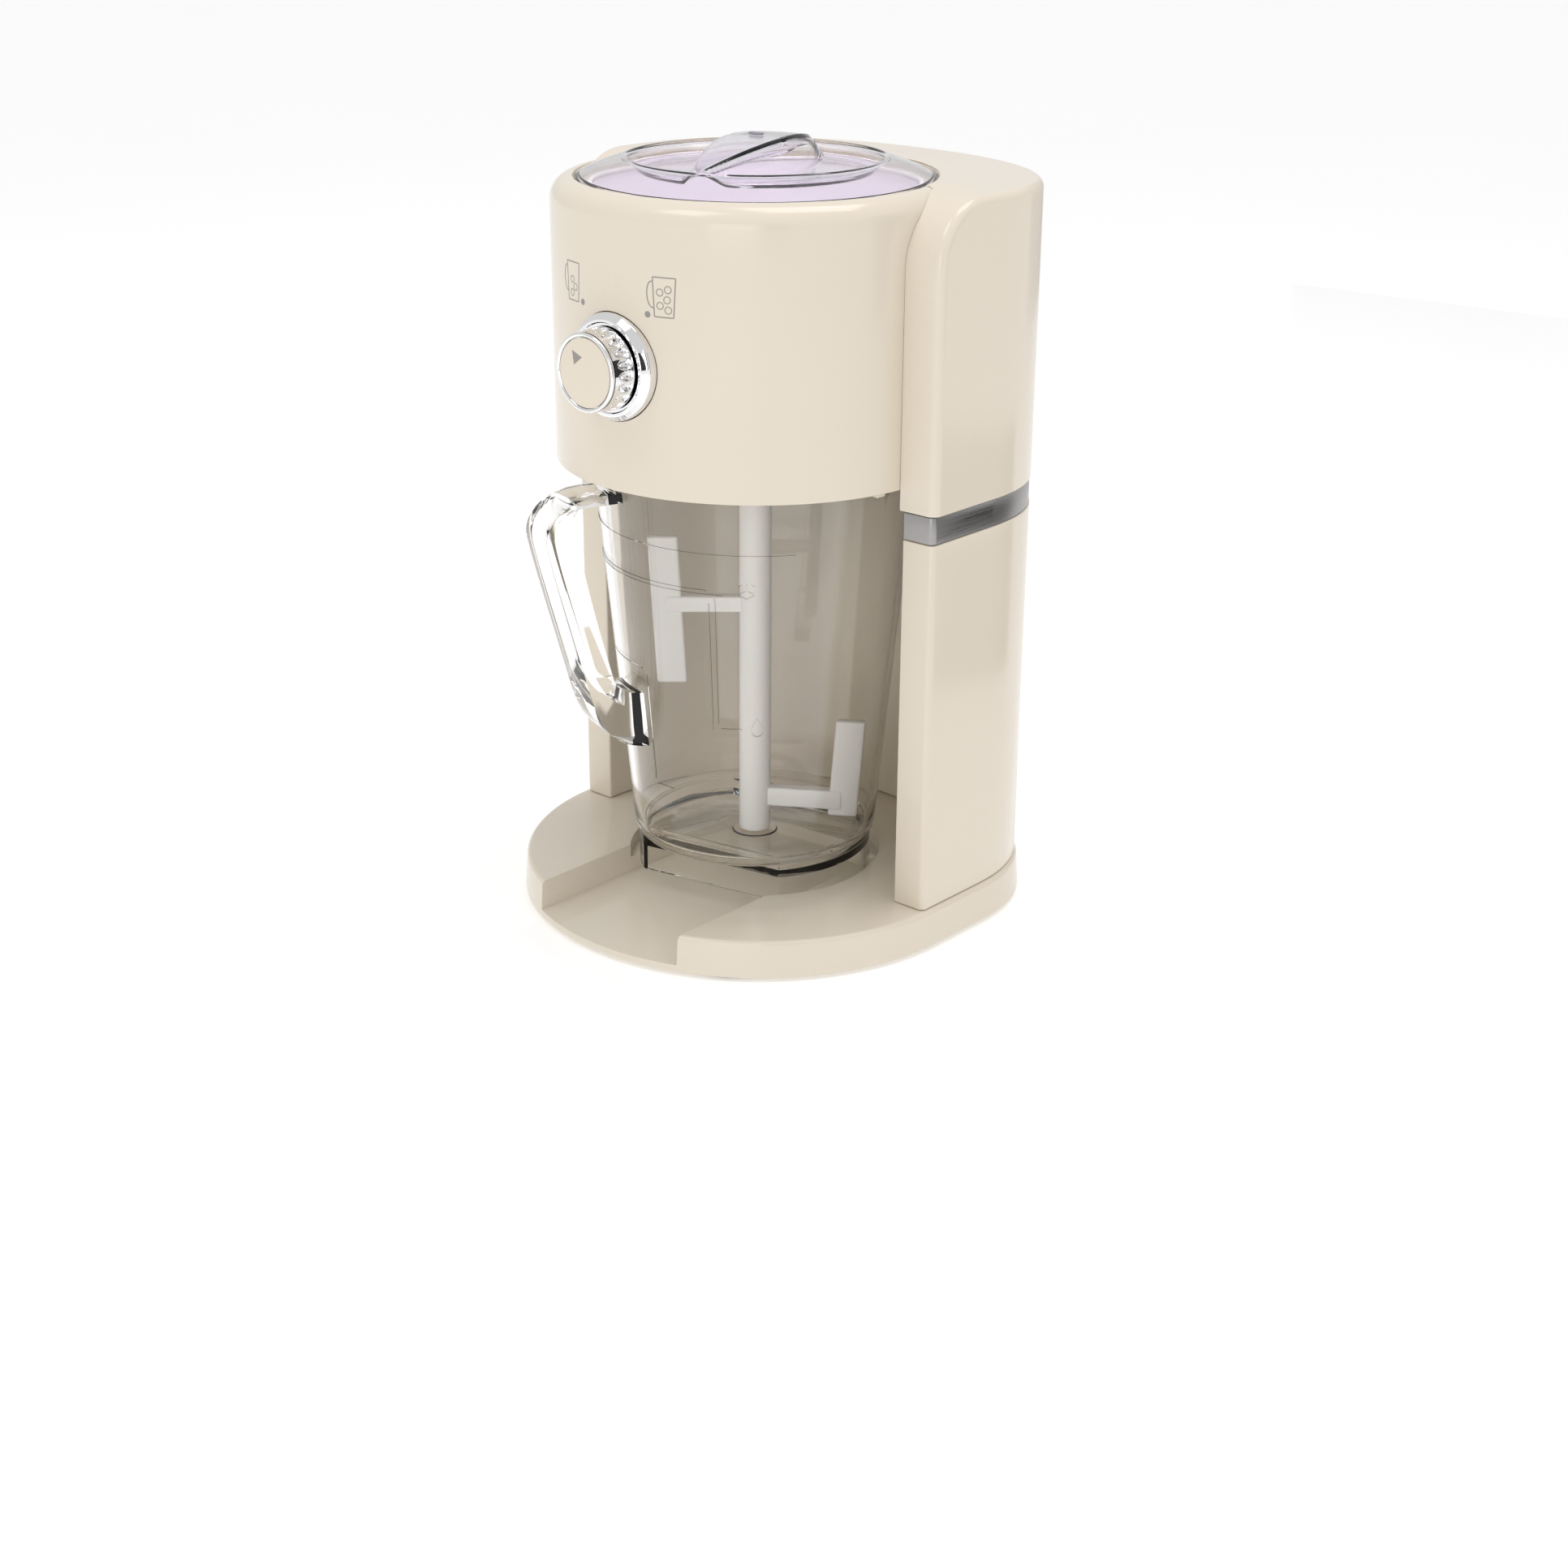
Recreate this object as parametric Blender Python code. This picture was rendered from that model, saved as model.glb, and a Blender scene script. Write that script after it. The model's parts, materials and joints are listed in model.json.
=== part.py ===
"""Countertop frozen-drink maker: body, clear jug with paddle, lid, knob, motor and gear train.

Sizes below are in millimetres, measured from the vertical axis of the round head, with z = 0 at
the bottom edge of the base. +Z is up and the knob faces -Y. ROOT moves that axis to its place in
the part's frame, whose origin is the bottom centre of the whole part.
"""
import math

import bmesh
import bpy
from mathutils import Matrix, Vector

MM = 0.001
GAP = 0.3                       # clearance between pieces that touch
WALL = 2.5                      # moulded wall thickness

# Plan of the body: elliptical front, straight sides, full round back
BASE_HALF_WIDTH = 96.0
BASE_FRONT = 94.0
BODY_HALF_WIDTH = 93.4
SIDE_STRAIGHT = 30.0            # sides run straight from y = 0 to here
BODY_BACK = 103.0
BACK_POWER = 2.25               # roundness of the back corners
BACK_STEPS = 16
WING_FRONT = -5.7               # front faces of the wings either side of the jug
BAY_RADIUS = 79.0

FOOT_DROP = 1.5                 # feet reach this far below the base
AXIS_Y = (BASE_FRONT - BODY_BACK) / 2

# Levels
BASE_TOP = 15.0
CHANNEL_FLOOR = 3.0
LEDGE = 9.4                     # side ledges that carry the twisted jug
BAND_LOW = 163.5
BAND_HIGH = 173.9
DRUM_LOW = 181.7
DRUM_TOP = 288.5
HOUSING_TOP = 288.0
GEAR_DECK = 204.0
DECK_THICK = 2.5
PLATE_THICK = 2.5               # floor plate of the drum

# Base
CHANNEL_HALF = 37.5
CHANNEL_BACK = 34.0
RECESS_RADIUS = 51.5
COVER_HALF = 50.0
COVER_FRONT = 57.0
COVER_BACK = 82.0
COVER_ROOM = 12.0               # height of the room above the base cover
FOOT_PAD = 10.0
FOOT_SINK = 1.5                 # feet sit this deep in the base
FEET = {
    "foot_front_left": (-46.5, -66.4),
    "foot_front_right": (46.5, -66.4),
    "foot_rear_left": (-62.0, 64.0),
    "foot_rear_right": (62.0, 64.0),
}
BASE_SCREWS = {
    "base_screw_left": (-86.0, 12.0),
    "base_screw_right": (86.0, 12.0),
    "base_screw_rear_left": (-38.0, 89.5),
    "base_screw_rear_right": (38.0, 89.5),
}
INLET_Z = 32.0                  # mains inlet in the back of the column
INLET_RADIUS = 6.0
CORD_BORE = 3.0

# Head
DRUM_RADIUS = 77.2
DRUM_FILLET = 8.5
LID_SEAT = 284.5
SEAT_RADIUS = 68.5
SEAT_HOLE = 63.6
SHOULDER_RADIUS = 25.0
LID_RADIUS = 67.9
LID_BAR_AZ = 17.0               # degrees from -Y towards +X, as all azimuths
LID_BAR_TOP = 303.0
HOPPER_RADIUS = 49.0
HOPPER_RIM = 63.2
HOPPER_WALL = 2.2
CHUTE = ((-18.0, -50.0), (18.0, -35.0))
CATCH_AZ = 81.0
PLUNGER_AZ = 128.0
PLUNGER_RADIUS = 66.0

# Jug
JUG_FLOOR = 20.0                # underside of the jug's floor
JUG_STEP = 25.4                 # here the wall steps out beyond the foot
JUG_TOP = 181.0
JUG_LOW_RADIUS = 49.0           # at the step
JUG_SLOPE = 0.0933              # growth of the radius with height
JUG_WALL = 2.5
HANDLE_AZ = -20.0
HANDLE_HALF = 10.0
SPOUT_AZ = 160.0
SPOUT_LOW = 150.0
SPOUT_REACH = 9.0
FOOT_AZ = 11.5
FOOT_RADIUS = 47.6
FOOT_FLAT = 35.5
FOOT_WALL = 2.3

# Paddle
PADDLE_RADIUS = 6.4
PADDLE_LOW = 23.5
PADDLE_TOP = 181.1
BLADE_WIDTH = 12.0
BLADE_THICK = 4.4
PADDLE_ARMS = (                 # azimuth, arm heights, blade radii, blade heights
    (-48.0, (117.0, 123.5), (27.4, 30.8), (87.0, 148.0)),
    (123.0, (34.0, 42.0), (30.3, 33.4), (31.0, 72.5)),
)

# Drive
MOTOR_Y = 72.0
IDLER_Y = 42.0
FINE_MODULE = 1.25              # pinion and large idler gear
COARSE_MODULE = 1.75            # small idler gear and main gear
PINION_TEETH = 12
IDLER_LARGE_TEETH = 36
IDLER_SMALL_TEETH = 12
MAIN_TEETH = 36
BACKLASH = 0.3
MAIN_GEAR = (187.0, 193.0)      # lower and upper face of each gear
SMALL_IDLER = (187.0, 196.0)
LARGE_IDLER = (195.0, 200.0)
PINION = (194.5, 201.5)
SHAFT_RADIUS = 6.0
SHAFT_BORE = 6.2
BUSH_RADIUS = 8.7
PIN_RADIUS = 3.0
COUPLING_RADIUS = 4.0           # hexagonal dog, across its corners
MOTOR_RADIUS = 20.0
MOTOR_SCREW_X = 23.0
SCREW_HOLE = 1.7

# Knob
KNOB_Z = 228.0
KNOB_BEZEL_RADIUS = 19.8
KNOB_SPINDLE = 3.0
KNOB_SETTING = -38.0            # pointer angle from straight up, degrees
KNOB_SCALLOPS = 22

IVORY = ("ivory", (0.77, 0.69, 0.57, 1.0), 0.0, 0.32)
INNER = ("inner_plastic", (0.72, 0.70, 0.66, 1.0), 0.0, 0.5)
STEEL = ("brushed_steel", (0.55, 0.54, 0.52, 1.0), 1.0, 0.35)
CHROME = ("chrome", (0.82, 0.82, 0.83, 1.0), 1.0, 0.08)
CLEAR = ("clear_plastic", (0.93, 0.93, 0.95, 0.35), 0.0, 0.05)
WHITE = ("white_plastic", (0.86, 0.86, 0.84, 1.0), 0.0, 0.35)
RUBBER = ("rubber", (0.12, 0.12, 0.12, 1.0), 0.0, 0.8)
SILICONE = ("white_silicone", (0.85, 0.85, 0.84, 1.0), 0.0, 0.6)
NYLON = ("gear_nylon", (0.88, 0.87, 0.80, 1.0), 0.0, 0.45)
DARK = ("dark_plastic", (0.10, 0.10, 0.11, 1.0), 0.0, 0.5)
GREY = ("grey_plastic", (0.38, 0.36, 0.40, 1.0), 0.0, 0.4)
BOARD = ("circuit_board", (0.05, 0.22, 0.10, 1.0), 0.0, 0.5)
BRASS = ("brass", (0.75, 0.58, 0.28, 1.0), 1.0, 0.3)


def clear_scene():
    for obj in list(bpy.data.objects):
        bpy.data.objects.remove(obj, do_unlink=True)


def get_material(spec):
    name, colour, metallic, roughness = spec
    material = bpy.data.materials.get(name)
    if material is None:
        material = bpy.data.materials.new(name)
        material.use_nodes = True
        shader = material.node_tree.nodes["Principled BSDF"]
        shader.inputs["Base Color"].default_value = (*colour[:3], 1.0)
        shader.inputs["Metallic"].default_value = metallic
        shader.inputs["Roughness"].default_value = roughness
        shader.inputs["Alpha"].default_value = colour[3]
        material.diffuse_color = colour
    return material


def polar(radius, azimuth):
    """Plan point at an azimuth in degrees, from -Y towards +X."""
    turn = math.radians(azimuth)
    return radius * math.sin(turn), -radius * math.cos(turn)


# ---------------------------------------------------------------- outlines

def circle(radius, steps, centre=(0.0, 0.0)):
    angles = [2 * math.pi * i / steps for i in range(steps)]
    return [(centre[0] + radius * math.cos(a), centre[1] + radius * math.sin(a)) for a in angles]


def rectangle(low, high):
    return [(low[0], low[1]), (high[0], low[1]), (high[0], high[1]), (low[0], high[1])]


def back_curve(half_width, back, steps):
    """Right side to left side round the back, a superellipse beyond SIDE_STRAIGHT."""
    points = []
    depth = back - SIDE_STRAIGHT
    for i in range(steps + 1):
        turn = math.pi * i / steps
        c, s = math.cos(turn), math.sin(turn)
        x = half_width * math.copysign(abs(c) ** (2 / BACK_POWER), c)
        points.append((x, SIDE_STRAIGHT + depth * s ** (2 / BACK_POWER)))
    return points


def base_outline(inset):
    """Whole base outline: elliptical front, then straight sides and the round back."""
    half = BASE_HALF_WIDTH - inset
    front = BASE_FRONT - inset
    steps = 24
    points = []
    for i in range(steps + 1):
        turn = math.pi * (1 + i / steps)
        points.append((half * math.cos(turn), front * math.sin(turn)))
    return points + back_curve(half, BODY_BACK - inset, BACK_STEPS)


def column_outline(inset, bay_radius):
    """C-shaped outline round the jug bay; inset moves the outer faces inwards."""
    half = BODY_HALF_WIDTH - inset
    front = WING_FRONT + inset
    start = math.asin(front / bay_radius)
    corner = 2.5
    points = [(half - corner, front), (half - corner * 0.29, front + corner * 0.29)]
    points.append((half, front + corner))
    points += back_curve(half, BODY_BACK - 0.4 - inset, BACK_STEPS)
    points += [(-x, y) for x, y in reversed(points[:3])]
    steps = 22
    for i in range(steps + 1):
        turn = math.pi - start + (2 * start - math.pi) * i / steps
        points.append((bay_radius * math.cos(turn), bay_radius * math.sin(turn)))
    return points


def housing_outline(inset):
    """Outline of the upper body behind the wing fronts, without the bay."""
    half = BODY_HALF_WIDTH + 0.2 - inset
    front = WING_FRONT + inset
    corner = 2.5
    points = [(half - corner, front), (half - corner * 0.29, front + corner * 0.29)]
    points.append((half, front + corner))
    points += back_curve(half, BODY_BACK - inset, BACK_STEPS)
    points += [(-x, y) for x, y in reversed(points[:3])]
    return points


def involute_gear(teeth, module, phase, centre_y=0.0):
    """Spur gear outline with 20 degree involute flanks; phase turns it, in radians."""
    flank_angle = math.radians(20.0)
    pitch = teeth * module / 2
    base = pitch * math.cos(flank_angle)
    tip = pitch + 0.9 * module
    root = pitch - 1.2 * module
    half_tooth = (math.pi * module / 2 - BACKLASH) / (2 * pitch)
    inv_pitch = math.tan(flank_angle) - flank_angle

    def half_angle(radius):
        if radius <= base:
            return half_tooth + inv_pitch
        pressure = math.acos(base / radius)
        return half_tooth + inv_pitch - (math.tan(pressure) - pressure)

    start = max(base, root)
    flank = [root] if root < 0.99 * base else []
    flank += [start, (start + tip) / 2, tip]
    points = []
    for i in range(teeth):
        centre = phase + 2 * math.pi * i / teeth
        for radius in flank:
            points.append((radius, centre - half_angle(radius)))
        for radius in reversed(flank):
            points.append((radius, centre + half_angle(radius)))
    return [(r * math.cos(a), centre_y + r * math.sin(a)) for r, a in points]


# ---------------------------------------------------------------- solids

def finish(name, bm, spec, origin=(0.0, 0.0, 0.0), parent=None, smooth=True):
    """Turn a bmesh in millimetres into a named object whose origin is at origin."""
    bmesh.ops.remove_doubles(bm, verts=bm.verts, dist=1e-4)
    bmesh.ops.recalc_face_normals(bm, faces=bm.faces)
    bmesh.ops.translate(bm, verts=bm.verts, vec=-Vector(origin))
    bmesh.ops.scale(bm, verts=bm.verts, vec=(MM, MM, MM))
    mesh = bpy.data.meshes.new(name)
    bm.to_mesh(mesh)
    bm.free()
    if smooth:
        mesh.shade_smooth()
        mesh.set_sharp_from_angle(angle=math.radians(32))
    obj = bpy.data.objects.new(name, mesh)
    bpy.context.collection.objects.link(obj)
    obj.parent = parent or ROOT
    shift = Vector(origin) if parent is None else Vector(origin) - Vector(parent["at"])
    obj.location = shift * MM
    if spec:
        mesh.materials.append(get_material(spec))
    return obj


def loft(levels):
    """Closed solid through plan outlines of equal length, given as (z, outline)."""
    bm = bmesh.new()
    rings = [[bm.verts.new((x, y, z)) for x, y in outline] for z, outline in levels]
    count = len(rings[0])
    for low, high in zip(rings, rings[1:]):
        for i in range(count):
            j = (i + 1) % count
            bm.faces.new((low[i], low[j], high[j], high[i]))
    bm.faces.new(list(reversed(rings[0])))
    bm.faces.new(rings[-1])
    return bm


def prism(outline, low, high):
    return loft([(low, outline), (high, outline)])


def bridge(near, far):
    """Closed solid between two outlines of equal length, given as points in space."""
    bm = bmesh.new()
    rings = [[bm.verts.new(point) for point in ring] for ring in (near, far)]
    count = len(near)
    for i in range(count):
        j = (i + 1) % count
        bm.faces.new((rings[0][i], rings[0][j], rings[1][j], rings[1][i]))
    bm.faces.new(list(reversed(rings[0])))
    bm.faces.new(rings[1])
    return bm


def lathe(profile, steps, centre=(0.0, 0.0), closed=True):
    """Turn an (r, z) profile about the vertical; a point at r = 0 becomes a pole."""
    bm = bmesh.new()
    rings = []
    for r, z in profile:
        if r < 1e-6:
            rings.append([bm.verts.new((centre[0], centre[1], z))])
        else:
            rings.append([bm.verts.new((x, y, z)) for x, y in circle(r, steps, centre)])
    pairs = list(zip(rings, rings[1:]))
    if closed:
        pairs.append((rings[-1], rings[0]))
    for a, b in pairs:
        if len(a) == 1 and len(b) == 1:
            continue
        for i in range(steps):
            j = (i + 1) % steps
            corners = [a[i % len(a)], a[j % len(a)], b[j % len(b)], b[i % len(b)]]
            unique = list(dict.fromkeys(corners))
            bm.faces.new(unique)
    return bm


def rod(radius, low, high, steps=24, centre=(0.0, 0.0), chamfer=0.0):
    """Solid cylinder, with a chamfer on both ends when one is given."""
    profile = [(0.0, low), (radius - chamfer, low)]
    if chamfer:
        profile += [(radius, low + chamfer), (radius, high - chamfer)]
    profile += [(radius - chamfer, high), (0.0, high)]
    return lathe(profile, steps, centre, closed=False)


def tube(outer, inner, low, high, steps=32, centre=(0.0, 0.0)):
    return lathe([(inner, low), (outer, low), (outer, high), (inner, high)], steps, centre)


def lay_forward(bm, height):
    """Turn a solid made about +Z to lie along -Y at the given height."""
    turn = Matrix.Rotation(math.radians(90.0), 4, "X")
    bmesh.ops.transform(bm, matrix=turn, verts=bm.verts)
    bmesh.ops.translate(bm, verts=bm.verts, vec=(0.0, 0.0, height))
    return bm


def spin_to(bm, azimuth):
    """Turn a solid made towards -Y to an azimuth about the head's axis."""
    turn = Matrix.Rotation(math.radians(azimuth), 4, "Z")
    bmesh.ops.transform(bm, matrix=turn, verts=bm.verts)
    return bm


def combine(target, bm, operation):
    """Cut, join or keep the common part of a hidden helper solid, exactly."""
    helper = finish(f"{target.name}_helper_{len(target.modifiers)}", bm, None, smooth=False)
    helper.hide_render = True
    helper.display_type = "WIRE"
    modifier = target.modifiers.new(helper.name, "BOOLEAN")
    modifier.operation = operation
    modifier.solver = "EXACT"
    modifier.object = helper


def cut(target, bm):
    combine(target, bm, "DIFFERENCE")


def join(target, bm):
    combine(target, bm, "UNION")


def axis_empty(name, at):
    empty = bpy.data.objects.new(name, None)
    empty.parent = ROOT
    empty.location = Vector(at) * MM
    empty["at"] = at
    bpy.context.collection.objects.link(empty)
    return empty


# ---------------------------------------------------------------- base

def make_base():
    edge = [(0.0, 0.0), (13.4, 1.2), (14.5, 1.7), (BASE_TOP, 2.8)]
    base = finish("base_shell", loft([(z, base_outline(inset)) for z, inset in edge]), IVORY)
    cut(base, prism(circle(RECESS_RADIUS, 48), LEDGE, BASE_TOP + 5))
    channel = rectangle((-CHANNEL_HALF, -BASE_FRONT - 10), (CHANNEL_HALF, CHANNEL_BACK))
    cut(base, prism(channel, CHANNEL_FLOOR, BASE_TOP + 6))
    room = rectangle((-COVER_HALF, COVER_FRONT), (COVER_HALF, COVER_BACK))
    cut(base, prism(room, -2.0, COVER_ROOM))
    for x, y in FEET.values():
        cut(base, prism(circle(FOOT_PAD + GAP, 18, (x, y)), -2.0, FOOT_SINK))
    for x, y in BASE_SCREWS.values():
        cut(base, prism(circle(3.6, 12, (x, y)), -3.0, 4.0))
        cut(base, prism(circle(1.9, 10, (x, y)), -3.5, BASE_TOP + 4))

    cover = rectangle((-COVER_HALF + GAP, COVER_FRONT + GAP), (COVER_HALF - GAP, COVER_BACK - GAP))
    finish("base_cover", prism(cover, 0.4, 2.4), INNER, smooth=False)
    for name, (x, y) in FEET.items():
        pad = [(0.0, -FOOT_DROP), (FOOT_PAD - 1.0, -FOOT_DROP), (FOOT_PAD, -0.6)]
        pad += [(FOOT_PAD, FOOT_SINK - GAP), (0.0, FOOT_SINK - GAP)]
        finish(name, lathe(pad, 18, (x, y), closed=False), RUBBER)
    for name, (x, y) in BASE_SCREWS.items():
        screw = [(0.0, 1.2), (3.0, 1.2), (3.2, 1.6), (3.2, 3.7), (1.5, 3.7)]
        screw += [(1.5, 21.0), (0.0, 22.5)]
        finish(name, lathe(screw, 10, (x, y), closed=False), STEEL)


# ---------------------------------------------------------------- body

def make_column():
    low = BASE_TOP + GAP
    high = BAND_LOW - GAP
    column = finish("lower_column", prism(column_outline(0.0, BAY_RADIUS), low, high), IVORY)
    hollow = column_outline(WALL, BAY_RADIUS + WALL)
    cut(column, prism(hollow, low - 5, high + 5))
    hole = prism(circle(INLET_RADIUS + GAP, 24), -BODY_BACK - 12.0, -BODY_BACK + 13.0)
    cut(column, lay_forward(hole, INLET_Z))

    inlet = tube(INLET_RADIUS, CORD_BORE, -BODY_BACK + 0.6, -BODY_BACK + 5.5, 24)
    finish("cord_inlet", lay_forward(inlet, INLET_Z), RUBBER)

    band = prism(column_outline(0.4, BAY_RADIUS + 0.4), BAND_LOW, BAND_HIGH)
    band = finish("trim_band", band, STEEL)
    cut(band, prism(column_outline(WALL, BAY_RADIUS + WALL), BAND_LOW - 5, BAND_HIGH + 5))


def make_upper_housing():
    low = BAND_HIGH + GAP
    levels = [(low, 0.0), (HOUSING_TOP - 3.6, 0.0), (HOUSING_TOP - 1.8, 0.5)]
    levels += [(HOUSING_TOP - 0.5, 1.8), (HOUSING_TOP, 3.6)]
    shape = loft([(z, housing_outline(inset)) for z, inset in levels])
    housing = finish("upper_housing", shape, IVORY)
    cut(housing, shoulder_cutter())
    cut(housing, prism(housing_outline(WALL), DRUM_LOW + 3.0, HOUSING_TOP - SHOULDER_RADIUS))
    top_room = [(WALL, HOUSING_TOP - SHOULDER_RADIUS - 1.0), (WALL, HOUSING_TOP - 9.0)]
    top_room += [(8.0, HOUSING_TOP - 3.0)]
    setback = SHOULDER_RADIUS + 2.0
    cut(housing, loft([(z, clipped_outline(inset, setback)) for inset, z in top_room]))
    cut(housing, prism(column_outline(WALL, BAY_RADIUS + WALL), low - 5, DRUM_LOW + 3.2))
    cut(housing, prism(circle(DRUM_RADIUS + GAP, 48), low - 8, HOUSING_TOP + 8))


def clipped_outline(inset, setback):
    """Housing outline whose front starts further back, under the shoulder."""
    half = BODY_HALF_WIDTH + 0.2 - inset
    front = WING_FRONT + setback
    return [(half, front)] + back_curve(half, BODY_BACK - inset, BACK_STEPS) + [(-half, front)]


def shoulder_cutter():
    """Everything in front of the quarter round that joins the wing fronts to the top."""
    centre_y = WING_FRONT + SHOULDER_RADIUS
    centre_z = HOUSING_TOP - SHOULDER_RADIUS
    steps = 10
    arc = []
    for i in range(steps + 1):
        turn = math.pi / 2 * i / steps
        y = centre_y - (SHOULDER_RADIUS + 0.05) * math.cos(turn)
        z = centre_z + (SHOULDER_RADIUS + 0.05) * math.sin(turn)
        arc.append((y, z))
    side = arc + [(centre_y, HOUSING_TOP + 6.0), (WING_FRONT - 8.0, HOUSING_TOP + 6.0)]
    side += [(WING_FRONT - 8.0, centre_z)]
    return bridge([(-110.0, y, z) for y, z in side], [(110.0, y, z) for y, z in side])


# ---------------------------------------------------------------- head

def make_drum():
    inner = DRUM_RADIUS - WALL
    corner = DRUM_TOP - DRUM_FILLET
    profile = [(DRUM_RADIUS, DRUM_LOW)]
    for i in range(5):
        turn = math.pi / 2 * i / 4
        r = DRUM_RADIUS - DRUM_FILLET * (1 - math.cos(turn))
        profile.append((r, corner + DRUM_FILLET * math.sin(turn)))
    profile += [(SEAT_RADIUS, LID_SEAT), (SEAT_HOLE, LID_SEAT)]
    profile += [(SEAT_HOLE, LID_SEAT - WALL), (inner - 5.0, LID_SEAT - WALL)]
    profile += [(inner, corner - 1.0), (inner, DRUM_LOW)]
    drum = finish("drum_shell", lathe(profile, 48), IVORY)
    cut(drum, prism(rectangle((-60.0, 20.0), (60.0, 95.0)), DRUM_LOW - 5, 277.0))
    cut(drum, lay_forward(prism(circle(KNOB_BEZEL_RADIUS + GAP, 36), 60.0, 90.0), KNOB_Z))
    x, y = polar(PLUNGER_RADIUS, PLUNGER_AZ)
    cut(drum, prism(circle(1.8, 14, (x, y)), 280.5, 286.0))

    low = DRUM_LOW + GAP
    floor = finish("drum_floor", prism(circle(inner - GAP, 44), low, low + PLATE_THICK), IVORY)
    cut(floor, prism(circle(BUSH_RADIUS + GAP, 20), low - 4.0, low + 8.0))
    cut(floor, prism(chute_hole(), low - 3.0, low + 9.0))

    catch = prism(rectangle((-2.2, -74.0), (2.2, -70.4)), DRUM_LOW - 2.2, DRUM_LOW)
    finish("jug_catch", spin_to(catch, CATCH_AZ), IVORY, smooth=False)


def chute_hole(margin=GAP):
    """Outline of the ice chute with room round it, or inset by a negative margin."""
    (left, front), (right, back) = CHUTE
    return rectangle((left - margin, front - margin), (right + margin, back + margin))


def make_deck():
    """Plate over the gears, with a tongue under the motor."""
    tongue = 26.0
    radius = 72.0
    start = math.acos(tongue / radius)
    sweep = math.pi + 2 * start
    steps = 28
    outline = [(tongue, 97.0), (-tongue, 97.0)]
    for i in range(steps + 1):
        turn = math.pi - start + sweep * i / steps
        outline.append((radius * math.cos(turn), radius * math.sin(turn)))
    deck = prism(outline, GEAR_DECK, GEAR_DECK + DECK_THICK)
    deck = finish("gear_deck", deck, INNER, smooth=False)
    cut(deck, prism(circle(BUSH_RADIUS + GAP, 20), 200.0, 210.0))
    cut(deck, prism(circle(8.0, 24, (0.0, MOTOR_Y)), 199.0, 211.0))
    cut(deck, prism(chute_hole(), 198.0, 212.0))
    for side in (-1, 1):
        hole = circle(SCREW_HOLE, 14, (side * MOTOR_SCREW_X, MOTOR_Y))
        cut(deck, prism(hole, 197.0, 213.0))

    chute = prism(chute_hole(0.0), DRUM_LOW + GAP, GEAR_DECK + DECK_THICK)
    chute = finish("ice_chute", chute, INNER, smooth=False)
    cut(chute, prism(chute_hole(-2.0), 175.0, 215.0))


def make_hopper():
    bottom = GEAR_DECK + DECK_THICK + GAP
    top = bottom + HOPPER_WALL
    bore = 9.4
    inner_rim = HOPPER_RIM - HOPPER_WALL
    inner = HOPPER_RADIUS - HOPPER_WALL
    profile = [(bore, bottom), (HOPPER_RADIUS, bottom), (HOPPER_RADIUS, 262.0)]
    profile += [(HOPPER_RIM, 281.0), (HOPPER_RIM, LID_SEAT - 0.5), (inner_rim, LID_SEAT - 0.5)]
    profile += [(inner_rim, 281.8), (inner, 262.8), (inner, top), (bore, top)]
    hopper = finish("hopper", lathe(profile, 40), INNER)
    cut(hopper, prism(rectangle((-16.0, -46.0), (16.0, -37.0)), 200.0, 215.0))

    seal = tube(HOPPER_RIM, HOPPER_RIM - 2.6, LID_SEAT - 0.5 + GAP, LID_SEAT + 1.5, 36)
    finish("lid_seal", seal, SILICONE)

    top += GAP
    section = [(-22.0, top), (-9.0, top), (-7.0, top + 1.9), (-22.0, top + 1.4)]
    near = [(x, -40.5, z) for x, z in section]
    far = [(x, -19.0, z) for x, z in section]
    finish("shaver_blade", bridge(near, far), STEEL, smooth=False)


# ---------------------------------------------------------------- drive

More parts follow.
